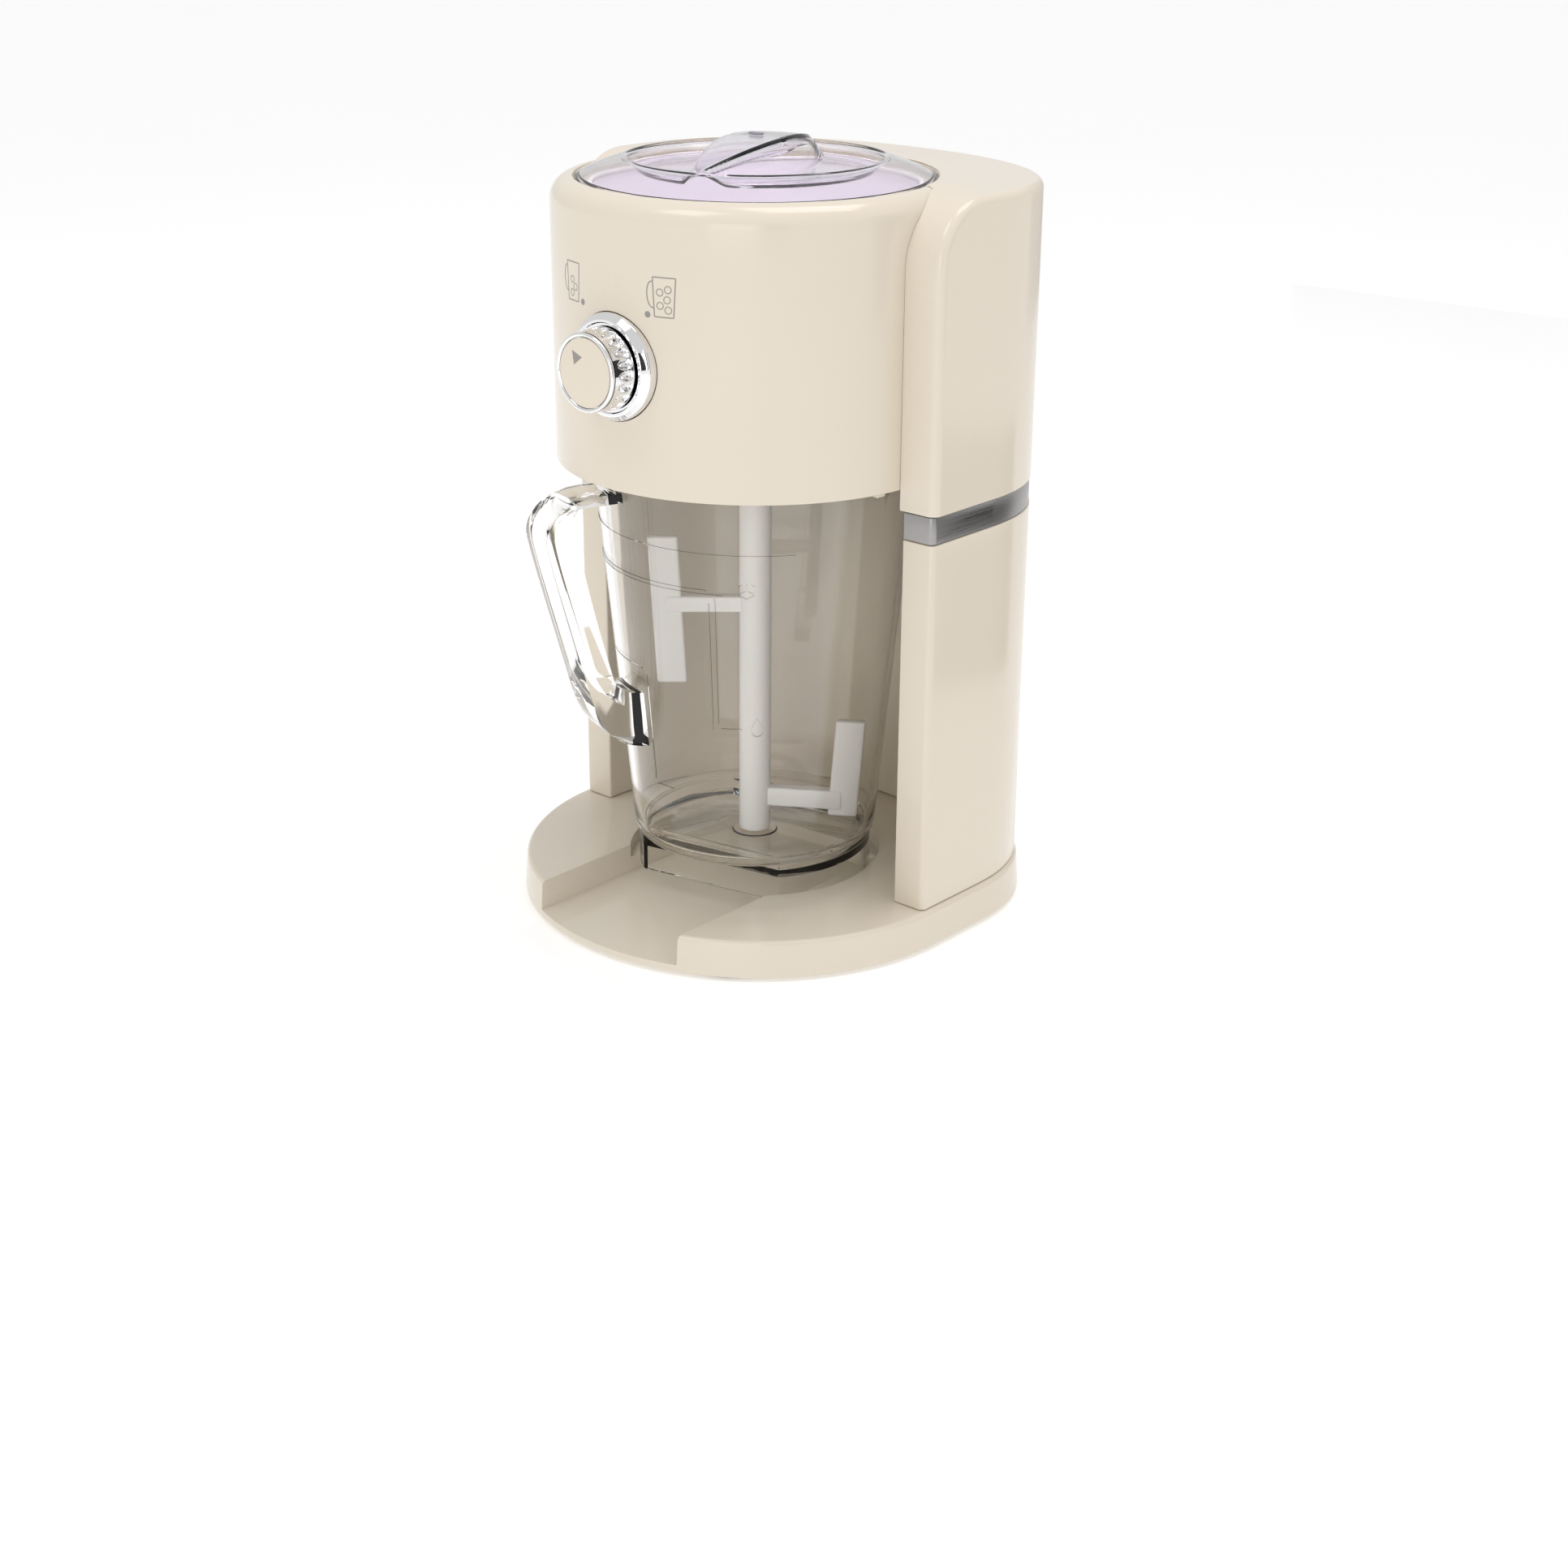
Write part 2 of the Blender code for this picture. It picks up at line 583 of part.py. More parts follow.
def make_drive():
    drive = axis_empty("drive_axis", (0.0, 0.0, 0.0))
    motor = axis_empty("motor_axis", (0.0, MOTOR_Y, 0.0))
    idler = axis_empty("idler_axis", (0.0, IDLER_Y, 0.0))
    at_drive, at_motor, at_idler = drive["at"], motor["at"], idler["at"]

    shaft = rod(SHAFT_RADIUS, 182.1, 229.5, 20, chamfer=0.8)
    finish("drive_shaft", shaft, STEEL, at_drive, drive)
    dog = prism(circle(COUPLING_RADIUS, 6), PADDLE_TOP - 6.1, PADDLE_TOP + 0.7)
    finish("drive_coupling", dog, STEEL, at_drive, drive, smooth=False)

    # A gap of the main gear and a tooth of the idler face each other on the line of centres.
    main = involute_gear(MAIN_TEETH, COARSE_MODULE, math.pi / 2 + math.pi / MAIN_TEETH)
    main = finish("main_gear", prism(main, *MAIN_GEAR), NYLON, at_drive, drive, smooth=False)
    cut(main, prism(circle(SHAFT_RADIUS + GAP, 20), 180.0, 200.0))

    small = involute_gear(IDLER_SMALL_TEETH, COARSE_MODULE, -math.pi / 2, IDLER_Y)
    large = involute_gear(IDLER_LARGE_TEETH, FINE_MODULE, math.pi / 2, IDLER_Y)
    gear = finish("idler_gear", prism(small, *SMALL_IDLER), NYLON, at_idler, idler, smooth=False)
    join(gear, prism(large, *LARGE_IDLER))
    cut(gear, prism(circle(PIN_RADIUS + GAP, 20, (0.0, IDLER_Y)), 180.0, 206.0))
    pin_low = DRUM_LOW + PLATE_THICK + 2 * GAP
    pin = rod(PIN_RADIUS, pin_low, GEAR_DECK - GAP, 20, (0.0, IDLER_Y), 0.4)
    finish("idler_pin", pin, STEEL)

    phase = -math.pi / 2 + math.pi / PINION_TEETH
    pinion = prism(involute_gear(PINION_TEETH, FINE_MODULE, phase, MOTOR_Y), *PINION)
    pinion = finish("motor_pinion", pinion, BRASS, at_motor, motor, smooth=False)
    join(pinion, prism(circle(2.5, 20, (0.0, MOTOR_Y)), 198.0, 216.0))

    finish("lower_bush", tube(BUSH_RADIUS, SHAFT_BORE, 182.1, 186.6, 20), BRASS)
    finish("upper_bush", tube(BUSH_RADIUS, SHAFT_BORE, 203.4, 206.4, 20), BRASS)
    finish("shaft_seal", tube(9.1, SHAFT_BORE, 206.8, 210.4, 20), RUBBER)
    make_motor()

    rotor = rod(12.0, 212.0, 236.0, 20, chamfer=2.0)
    rotor = finish("ice_rotor", rotor, WHITE, at_drive, drive)
    for k in range(3):
        vane = prism(rectangle((-1.6, -44.0), (1.6, -8.0)), 213.0, 232.0)
        join(rotor, spin_to(vane, 60.0 + 120.0 * k))
    cut(rotor, prism(circle(SHAFT_RADIUS + GAP, 20), 208.0, 230.0))


def make_motor():
    plate = prism(rectangle((-26.0, 51.0), (26.0, 93.0)), 206.8, 208.6)
    plate = finish("motor_plate", plate, STEEL, smooth=False)
    cut(plate, prism(circle(8.0, 24, (0.0, MOTOR_Y)), 200.0, 214.0))
    can = [(0.0, 208.9), (MOTOR_RADIUS, 208.9), (MOTOR_RADIUS, 255.0)]
    can += [(MOTOR_RADIUS - 2.0, 257.5), (5.0, 257.5), (5.0, 260.0), (0.0, 260.0)]
    can = finish("motor_can", lathe(can, 24, (0.0, MOTOR_Y), closed=False), STEEL)
    cut(can, prism(circle(2.9, 18, (0.0, MOTOR_Y)), 200.0, 217.0))
    for name, side in (("motor_screw_left", -1), ("motor_screw_right", 1)):
        x = side * MOTOR_SCREW_X
        cut(plate, prism(circle(SCREW_HOLE, 14, (x, MOTOR_Y)), 202.0, 212.0))
        screw = [(0.0, 202.5), (1.4, 202.5), (1.4, 208.9), (2.6, 208.9), (2.6, 210.4)]
        screw += [(0.0, 210.9)]
        finish(name, lathe(screw, 10, (x, MOTOR_Y), closed=False), STEEL)


def blade(radii, heights):
    """Upright paddle blade that leans outwards with the jug's wall; radii are its inner edge's."""
    half = BLADE_THICK / 2
    low = rectangle((-half, -(radii[0] + BLADE_WIDTH)), (half, -radii[0]))
    high = rectangle((-half, -(radii[1] + BLADE_WIDTH)), (half, -radii[1]))
    crown = rectangle((-half, -(radii[1] + BLADE_WIDTH - 3.0)), (half, -(radii[1] + 3.0)))
    return loft([(heights[0], low), (heights[1] - 2.5, high), (heights[1], crown)])


def make_paddle():
    drive = bpy.data.objects["drive_axis"]
    paddle = rod(PADDLE_RADIUS, PADDLE_LOW, PADDLE_TOP, 24, chamfer=0.6)
    paddle = finish("paddle", paddle, WHITE, drive["at"], drive)
    for azimuth, arm_heights, radii, heights in PADDLE_ARMS:
        arm = prism(rectangle((-3.0, -36.0), (3.0, -3.0)), *arm_heights)
        join(paddle, spin_to(arm, azimuth))
        join(paddle, spin_to(blade(radii, heights), azimuth))
    cut(paddle, prism(circle(COUPLING_RADIUS + 0.5, 6), PADDLE_TOP - 6.5, PADDLE_TOP + 4.9))


# ---------------------------------------------------------------- jug

def jug_radius(z, azimuth):
    """Outer radius of the jug, with the pouring spout drawn out of the top."""
    radius = JUG_LOW_RADIUS + JUG_SLOPE * (z - JUG_STEP)
    rise = max(0.0, (z - SPOUT_LOW) / (JUG_TOP - SPOUT_LOW))
    away = abs((azimuth - SPOUT_AZ + 180.0) % 360.0 - 180.0)
    return radius + SPOUT_REACH * rise * max(0.0, 1.0 - away / (14.0 * rise + 1e-6))


def make_jug():
    axis = bpy.data.objects["drive_axis"]
    steps = 48
    azimuths = [SPOUT_AZ + 360.0 * i / steps for i in range(steps)]
    floor = JUG_FLOOR + JUG_WALL
    outside = [(JUG_STEP, -3.0), (JUG_STEP + 1.0, -1.0), (JUG_STEP + 3.0, 0.0), (95.0, 0.0)]
    outside += [(SPOUT_LOW, 0.0), (166.0, 0.0), (JUG_TOP, 0.0)]
    inside = [(JUG_TOP, -JUG_WALL), (166.0, -JUG_WALL), (SPOUT_LOW, -JUG_WALL)]
    inside += [(95.0, -JUG_WALL), (JUG_STEP + 6.0, -JUG_WALL), (JUG_STEP + 3.4, -JUG_WALL - 1.5)]
    levels = []
    for z, offset in outside + inside:
        levels.append((z, [polar(jug_radius(z, a) + offset, a) for a in azimuths]))
    jug = finish("jug", loft(levels), CLEAR, axis["at"], axis)
    join(jug, prism(foot_outline(0.0), JUG_FLOOR, JUG_STEP + 1.0))
    cut(jug, prism(foot_outline(JUG_WALL), floor, JUG_STEP + 4.0))
    join(jug, rod(9.3, floor - 1.0, floor + 0.7, 32, chamfer=0.5))

    foot = prism(foot_outline(0.0), LEDGE + GAP, JUG_FLOOR - GAP)
    foot = finish("jug_foot", foot, CLEAR, axis["at"], axis)
    cut(foot, prism(foot_outline(FOOT_WALL), LEDGE - 3.0, JUG_FLOOR + 4.0))

    handle = finish("jug_handle", handle_shape(), CLEAR, axis["at"], axis)
    cut(handle, handle_channel())


def foot_outline(inset):
    """Round skirt with two flats, turned to the locked position."""
    radius = FOOT_RADIUS - inset
    flat = FOOT_FLAT - inset
    opening = math.degrees(math.acos(flat / radius))
    points = []
    for side in (0.0, 180.0):
        for i in range(13):
            azimuth = FOOT_AZ + side + opening + (180.0 - 2 * opening) * i / 12
            points.append(polar(radius, azimuth))
    return points


def bezier(points, steps):
    """Points along a cubic Bezier curve, without its first point."""
    a, b, c, d = (Vector(p) for p in points)
    run = []
    for i in range(1, steps + 1):
        t = i / steps
        u = 1 - t
        run.append(a * u ** 3 + b * 3 * u * u * t + c * 3 * u * t * t + d * t ** 3)
    return [(p.x, p.y) for p in run]


def handle_shape():
    """C-shaped strap in the (r, z) plane, extruded sideways and turned to its azimuth."""
    clear = 0.5
    low_r = jug_radius(71.5, 0.0) + clear
    low_in = jug_radius(94.0, 0.0) + clear
    outer = [(jug_radius(175.3, 0.0) + clear, 175.3), (73.0, 175.3)]
    outer += bezier(((73.0, 175.3), (84.0, 174.8), (93.6, 168.0), (93.4, 159.6)), 6)
    outer += bezier(((93.4, 159.6), (93.2, 155.0), (86.0, 129.5), (78.0, 100.0)), 4)
    outer += bezier(((78.0, 100.0), (74.0, 85.0), (70.0, 73.0), (low_r, 71.5)), 5)
    inner = [(low_in, 94.0)]
    inner += bezier(((low_in, 94.0), (62.0, 95.0), (65.5, 97.0), (67.0, 101.5)), 3)
    inner += bezier(((67.0, 101.5), (74.0, 126.0), (77.5, 142.0), (80.3, 155.0)), 3)
    inner += bezier(((80.3, 155.0), (81.2, 159.5), (83.6, 171.2), (79.0, 171.5)), 5)
    inner += [(jug_radius(171.5, 0.0) + clear, 171.5)]
    return spin_to(extrude_sideways(outer + inner, HANDLE_HALF), HANDLE_AZ)


def handle_channel():
    """Cutter for the channel along the strap's inner side, which leaves a web and two flanges."""
    web = [(72.0, 171.2)]
    web += bezier(((72.0, 171.2), (82.0, 171.0), (89.8, 168.5), (89.4, 160.0)), 5)
    web += bezier(((89.4, 160.0), (88.5, 152.0), (81.0, 126.0), (75.5, 107.0)), 4)
    web += bezier(((75.5, 107.0), (72.0, 97.0), (68.0, 92.0), (62.0, 89.5)), 3)
    web += [(62.0, 103.0)]
    return spin_to(extrude_sideways(web, HANDLE_HALF - WALL), HANDLE_AZ)


def extrude_sideways(outline, half):
    left = [(-half, -r, z) for r, z in outline]
    right = [(half, -r, z) for r, z in outline]
    return bridge(left, right)


# ---------------------------------------------------------------- lid and interlock

def make_lid():
    axis = bpy.data.objects["drive_axis"]
    rim = LID_SEAT + GAP
    outer = [(LID_RADIUS, rim), (LID_RADIUS, 288.4), (62.0, 292.2), (51.0, 296.8)]
    outer += [(47.0, 296.2), (41.0, 291.6), (0.0, 290.0)]
    inner = [(0.0, 287.6), (42.0, 289.2), (48.0, 293.8), (51.0, 294.3)]
    inner += [(61.0, 289.9), (65.4, 287.4), (65.4, rim), (LID_RADIUS, rim)]
    lid = lathe(outer + inner, 40, closed=False)
    lid = finish("lid", lid, CLEAR, axis["at"], axis)
    bar_levels = ((289.0, 0.0), (299.5, 1.0), (301.8, 3.0), (LID_BAR_TOP - 0.4, 7.0))
    bar = loft([(z, lens_outline(48.0 - inset, 15.0 - inset)) for z, inset in bar_levels])
    join(lid, spin_to(bar, LID_BAR_AZ))

    oval = [(3.4 * x, 2.0 * y) for x, y in circle(1.0, 20)]
    finish("lid_inset", prism(oval, LID_BAR_TOP - 0.1, LID_BAR_TOP + 0.5), GREY, axis["at"], axis)


def lens_outline(half_length, half_width):
    """Pointed oval between two arcs, long along Y."""
    radius = (half_length ** 2 + half_width ** 2) / (2 * half_width)
    opening = math.asin(half_length / radius)
    points = []
    for side in (1, -1):
        for i in range(8):
            turn = opening * (2 * i / 8 - 1)
            x = radius * math.cos(turn) - (radius - half_width)
            points.append((side * x, side * radius * math.sin(turn)))
    return points


def make_interlock():
    x, y = polar(PLUNGER_RADIUS, PLUNGER_AZ)
    plunger = rod(1.5, 270.0, LID_SEAT, 14, (x, y), 0.4)
    finish("interlock_plunger", plunger, WHITE, (x, y, 0.0))
    box = prism(rectangle((x - 5.0, y - 3.5), (x + 5.0, y + 3.5)), 250.0, 267.0)
    finish("interlock_switch", box, DARK, smooth=False)


# ---------------------------------------------------------------- knob and board

def make_knob():
    knob = axis_empty("knob_axis", (0.0, 0.0, KNOB_Z))
    at_knob = knob["at"]

    bezel = [(4.0, 73.0), (KNOB_BEZEL_RADIUS, 73.0), (KNOB_BEZEL_RADIUS, 79.4)]
    bezel += [(19.0, 80.8), (16.4, 80.8), (16.0, 80.2), (4.0, 80.2)]
    finish("knob_bezel", lay_forward(lathe(bezel, 28), KNOB_Z), CHROME)

    grip = loft([(81.1, scalloped(15.2, 1.1)), (90.0, scalloped(14.4, 0.7))])
    grip = finish("knob_grip", lay_forward(grip, KNOB_Z), CHROME, at_knob, knob)
    cut(grip, lay_forward(prism(circle(KNOB_SPINDLE + GAP, 20), 75.0, 88.0), KNOB_Z))
    rim = [(13.0, 90.3), (14.5, 90.3), (14.3, 91.7), (13.0, 91.7)]
    finish("knob_rim", lay_forward(lathe(rim, 36), KNOB_Z), CHROME, at_knob, knob)
    face = [(0.0, 90.3), (12.7, 90.3), (12.7, 91.2), (12.3, 91.5), (0.0, 91.5)]
    cap = lay_forward(lathe(face, 32, closed=False), KNOB_Z)
    cap = finish("knob_cap", cap, IVORY, at_knob, knob)
    cut(cap, pointer_cutter())
    spindle = lay_forward(rod(KNOB_SPINDLE, 58.0, 87.7, 20, chamfer=0.4), KNOB_Z)
    finish("knob_spindle", spindle, STEEL, at_knob, knob)

    body = prism(rectangle((-12.0, -12.0), (12.0, 12.0)), 54.0, 72.5)
    switch = finish("rotary_switch", lay_forward(body, KNOB_Z), DARK, smooth=False)
    cut(switch, lay_forward(prism(circle(3.4, 20), 56.0, 80.0), KNOB_Z))

    board = prism(rectangle((-86.0, 4.0), (-84.4, 46.0)), 200.0, 250.0)
    finish("control_board", board, BOARD, smooth=False)


def scalloped(radius, depth):
    """Round outline with shallow flutes for the fingers."""
    steps = KNOB_SCALLOPS * 4
    points = []
    for i in range(steps):
        turn = 2 * math.pi * i / steps
        r = radius - depth * (0.5 - 0.5 * math.cos(KNOB_SCALLOPS * turn))
        points.append((r * math.cos(turn), r * math.sin(turn)))
    return points


def pointer_cutter():
    """Triangular pointer sunk in the knob's face, aimed at the resting setting."""
    corners = [(0.0, 9.6), (2.6, 5.0), (-2.6, 5.0)]
    turn = math.radians(KNOB_SETTING)
    outline = []
    for x, up in corners:
        turned_x = x * math.cos(turn) + up * math.sin(turn)
        turned_up = -x * math.sin(turn) + up * math.cos(turn)
        outline.append((turned_x, turned_up))
    return lay_forward(prism(outline, 91.1, 93.0), KNOB_Z)


# ---------------------------------------------------------------- build

clear_scene()
ROOT = bpy.data.objects.new("frame_root", None)
ROOT.location = (0.0, AXIS_Y * MM, FOOT_DROP * MM)
bpy.context.collection.objects.link(ROOT)

make_base()
make_column()
make_upper_housing()
make_drum()
make_deck()
make_hopper()
make_drive()
make_paddle()
make_jug()
make_lid()
make_interlock()
make_knob()
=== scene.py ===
"""Looks of the countertop frozen-drink maker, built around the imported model.

Shapes are worked out in millimetres from the vertical axis of the round head, with z = 0 at the
bottom edge of the base, +Z up and the knob towards -Y. make() moves them into the model's frame.
"""
import json
import math

import bmesh
import bpy
from mathutils import Matrix, Vector


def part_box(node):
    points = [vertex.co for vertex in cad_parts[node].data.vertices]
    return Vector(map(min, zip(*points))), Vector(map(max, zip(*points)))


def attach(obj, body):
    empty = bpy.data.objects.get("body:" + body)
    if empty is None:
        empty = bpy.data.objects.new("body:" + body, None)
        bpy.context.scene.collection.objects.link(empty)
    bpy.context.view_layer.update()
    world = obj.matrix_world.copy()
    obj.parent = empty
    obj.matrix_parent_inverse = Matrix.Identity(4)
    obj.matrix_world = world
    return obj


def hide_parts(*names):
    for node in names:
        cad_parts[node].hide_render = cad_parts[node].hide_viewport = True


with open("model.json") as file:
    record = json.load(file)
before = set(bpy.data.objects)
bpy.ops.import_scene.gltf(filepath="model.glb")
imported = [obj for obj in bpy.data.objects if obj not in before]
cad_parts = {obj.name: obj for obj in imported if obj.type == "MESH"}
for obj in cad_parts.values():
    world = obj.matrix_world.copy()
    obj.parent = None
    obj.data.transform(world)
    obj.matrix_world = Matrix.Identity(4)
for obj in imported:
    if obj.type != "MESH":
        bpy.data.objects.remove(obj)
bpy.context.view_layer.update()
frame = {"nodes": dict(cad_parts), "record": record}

MM = 0.001
STEPS = 192                     # segments round a full turn of a visible round piece
CURVE_STEPS = 12                # segments of each Bezier stretch of the handle
GAP = 0.3                       # clearance between pieces, as in the solids
WALL = 2.5
BELOW = -2.0                    # cutters into the base's underside start here

head_low, head_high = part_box("drum_shell")
ORIGIN = Vector(((head_low.x + head_high.x) / 2, (head_low.y + head_high.y) / 2,
                 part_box("base_shell")[0].z))


def low(node):
    """A node's lowest corner in millimetres from the head's axis and the base's bottom edge."""
    return (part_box(node)[0] - ORIGIN) / MM


def high(node):
    return (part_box(node)[1] - ORIGIN) / MM


def middle(node):
    return (low(node) + high(node)) / 2


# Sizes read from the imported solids
BASE_HALF = high("base_shell").x
BASE_FRONT = -low("base_shell").y
BASE_BACK = high("base_shell").y
BASE_TOP = high("base_shell").z
COLUMN_HALF = high("lower_column").x
COLUMN_FRONT = low("lower_column").y
COLUMN_BACK = high("lower_column").y
HOUSING_HALF = high("upper_housing").x
HOUSING_BACK = high("upper_housing").y
DRUM_RADIUS = high("drum_shell").x
DRUM_LOW = low("drum_shell").z
DRUM_TOP = high("drum_shell").z
LID_RADIUS = high("lid").x
LID_LOW = low("lid").z
LID_TOP = high("lid").z
HOPPER_LOW = low("hopper").z
HOPPER_TOP = high("hopper").z
JUG_FLOOR = low("jug").z
JUG_TOP = high("jug").z
FOOT_LOW = low("jug_foot").z
PADDLE_LOW = low("paddle").z
PADDLE_TOP = high("paddle").z
KNOB_LOW = low("knob_bezel").z
KNOB_RADIUS = (high("knob_bezel").z - KNOB_LOW) / 2
KNOB_Z = KNOB_LOW + KNOB_RADIUS
KNOB_FACE = -low("knob_cap").y
FLOOR_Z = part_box("foot_front_left")[0].z

# Shape of the casings
SIDE_STRAIGHT = 30.0            # sides run straight from y = 0 to here
BACK_POWER = 2.25               # roundness of the back corners
BAY_RADIUS = 79.0
CHANNEL_HALF = 37.5
CHANNEL_FLOOR = 3.0
RECESS_RADIUS = 51.5
LEDGE = 9.4
DRUM_FILLET = 8.5
SEAT_RADIUS = 68.5
SEAT_HOLE = 63.6
LID_SEAT = LID_LOW - GAP
SHOULDER_RADIUS = 25.0
EDGE_RADIUS = 3.5               # rounding of the rear housing's outer edges
CROWN_TOP = DRUM_TOP + 0.3      # top of the rear housing where it meets the drum
CROWN_FALL = 1.2                # how far it falls towards the side edges

# Jug
JUG_STEP = 25.4                 # here the wall steps out beyond the foot
JUG_LOW_RADIUS = 49.0           # at the step
JUG_SLOPE = 0.0933
JUG_WALL = 2.5
HANDLE_AZ = -20.0
HANDLE_HALF = 10.0
SPOUT_AZ = 160.0
SPOUT_LOW = 150.0
SPOUT_REACH = 9.0
FOOT_AZ = 11.5
FOOT_RADIUS = 47.6
FOOT_FLAT = 35.5
FOOT_WALL = 2.3
NUB_RADIUS = 39.5
NUB_AZIMUTHS = (-25.0, 95.0)

# Lid
DOME_RIM = LID_LOW + 3.3
BAR_AZ = 17.0
SCOOP_RADIUS = 49.5
BAR_HALF_LENGTH = 50.0
BAR_HALF_WIDTH = 11.0
LID_WALL = 1.6
SCOOP_FLOOR = 289.6
SCOOP_BLEND = 6.5               # width of the slope from the dome down to the recess

# Knob and prints
SCALLOPS = 22
FLUTE_DEPTH = 1.35
FLUTE_DEEPEST = 0.3             # share of the grip's length, from the flange
KNOB_SETTING = -38.0            # pointer angle from straight up, degrees
PRINT_DEPTH = 0.05              # a print reaches this far to each side of the drum's surface
PRINT_LINE = 0.42
SYMBOL_REACH = 22.9             # sideways from the knob's axis
SYMBOL_RISE = 27.5              # over the knob's axis
DOT_REACH = 16.4
DOT_RISE = 21.0


# ---------------------------------------------------------------- shape helpers

def polar(radius, azimuth):
    """Plan point at an azimuth in degrees, from -Y towards +X."""
    turn = math.radians(azimuth)
    return radius * math.sin(turn), -radius * math.cos(turn)


def arc(centre, radius, start, end, steps):
    """Points on a circle from one angle to another, in degrees."""
    points = []
    for i in range(steps + 1):
        turn = math.radians(start + (end - start) * i / steps)
        points.append((centre[0] + radius * math.cos(turn), centre[1] + radius * math.sin(turn)))
    return points


def quarter(steps):
    """Cosine and sine at even steps over a quarter turn, for rounded edges."""
    turns = [math.pi / 2 * i / steps for i in range(steps + 1)]
    return [(math.cos(turn), math.sin(turn)) for turn in turns]


def circle(radius, steps=STEPS, centre=(0.0, 0.0)):
    return arc(centre, radius, 0.0, 360.0, steps)[:-1]


def rectangle(corner, opposite):
    return [corner, (opposite[0], corner[1]), opposite, (corner[0], opposite[1])]


def bezier(points, steps):
    """Points along a cubic Bezier curve, without its first point."""
    a, b, c, d = (Vector(p) for p in points)
    run = []
    for i in range(1, steps + 1):
        t = i / steps
        u = 1 - t
        p = a * u ** 3 + b * 3 * u * u * t + c * 3 * u * t * t + d * t ** 3
        run.append((p.x, p.y))
    return run


def carry_on(run, *controls):
    """Add a cubic Bezier stretch that starts at the run's last point."""
    run += bezier((run[-1], *controls), CURVE_STEPS)


def stroke(points, width, closed, stretch=1.0):
    """Each point of a line and half its width across; stretch scales the first coordinate."""
    count = len(points)
    run = []
    for i, point in enumerate(points):
        before = points[(i - 1) % count if closed else max(i - 1, 0)]
        after = points[(i + 1) % count if closed else min(i + 1, count - 1)]
        along = Vector(((after[0] - before[0]) * stretch, after[1] - before[1])).normalized()
        run.append((*point, Vector((-along.y, along.x)) * width / 2))
    return run


def smoothstep(value):
    value = min(1.0, max(0.0, value))
    return value * value * (3 - 2 * value)


def loft(rings, closed=False):
    """Solid through rings of equal length; closed joins the last ring to the first."""
    bm = bmesh.new()
    rows = [[bm.verts.new(point) for point in ring] for ring in rings]
    pairs = list(zip(rows, rows[1:]))
    if closed:
        pairs.append((rows[-1], rows[0]))
    count = len(rows[0])
    for a, b in pairs:
        for i in range(count):
            j = (i + 1) % count
            bm.faces.new((a[i], a[j], b[j], b[i]))
    if not closed:
        bm.faces.new(list(reversed(rows[0])))
        bm.faces.new(rows[-1])
    return bm


def flat_ring(outline, z):
    return [(x, y, z) for x, y in outline]


def prism(outline, bottom, top):
    return loft([flat_ring(outline, bottom), flat_ring(outline, top)])


def lathe(profile, steps=STEPS, centre=(0.0, 0.0), closed=True):
    """Turn an (r, z) profile about the vertical; a point at r = 0 becomes a pole."""
    bm = bmesh.new()
    rows = []
    for r, z in profile:
        outline = [centre] if r < 1e-6 else circle(r, steps, centre)
        rows.append([bm.verts.new((x, y, z)) for x, y in outline])
    pairs = list(zip(rows, rows[1:]))
    if closed:
        pairs.append((rows[-1], rows[0]))
    for a, b in pairs:
        for i in range(steps if len(a) + len(b) > 2 else 0):
            j = (i + 1) % steps
            corners = [a[i % len(a)], a[j % len(a)], b[j % len(b)], b[i % len(b)]]
            bm.faces.new(list(dict.fromkeys(corners)))
    return bm


def block(corner, opposite, radius):
    """Box with all its edges rounded."""
    bm = prism(rectangle(corner[:2], opposite[:2]), corner[2], opposite[2])
    bmesh.ops.bevel(bm, geom=bm.edges[:] + bm.verts[:], offset=radius, segments=3,
                    profile=0.5, affect="EDGES")
    return bm


def lay_forward(bm, height):
    """Turn a solid made about +Z to lie along -Y at the given height."""
    bmesh.ops.transform(bm, matrix=Matrix.Rotation(math.radians(90.0), 4, "X"), verts=bm.verts)
    bmesh.ops.translate(bm, verts=bm.verts, vec=(0.0, 0.0, height))
    return bm


def spin_to(bm, azimuth):
    """Turn a solid made towards -Y to an azimuth about the head's axis."""
    bmesh.ops.transform(bm, matrix=Matrix.Rotation(math.radians(azimuth), 4, "Z"), verts=bm.verts)
    return bm


def gather(parts):
    """One bmesh that holds several separate solids."""
    whole = bmesh.new()
    for part in parts:
        mesh = bpy.data.meshes.new("part")
        part.to_mesh(mesh)
        part.free()
        whole.from_mesh(mesh)
        bpy.data.meshes.remove(mesh)
    return whole


def make(name, bm, material=None):
    """Object in the model's frame from a bmesh in millimetres about the head's axis."""
    bmesh.ops.remove_doubles(bm, verts=bm.verts, dist=1e-3)
    bmesh.ops.recalc_face_normals(bm, faces=bm.faces)
    for vert in bm.verts:
        vert.co = ORIGIN + vert.co * MM
    mesh = bpy.data.meshes.new(name)
    bm.to_mesh(mesh)
    bm.free()
    obj = bpy.data.objects.new(name, mesh)
    bpy.context.scene.collection.objects.link(obj)
    if material:
        mesh.materials.append(material)
    return obj


def bake(obj):
    """Apply the object's modifiers to its mesh."""
    graph = bpy.context.evaluated_depsgraph_get()
    mesh = bpy.data.meshes.new_from_object(obj.evaluated_get(graph))
    old = obj.data
    obj.modifiers.clear()
    obj.data = mesh
    bpy.data.meshes.remove(old)
    return obj


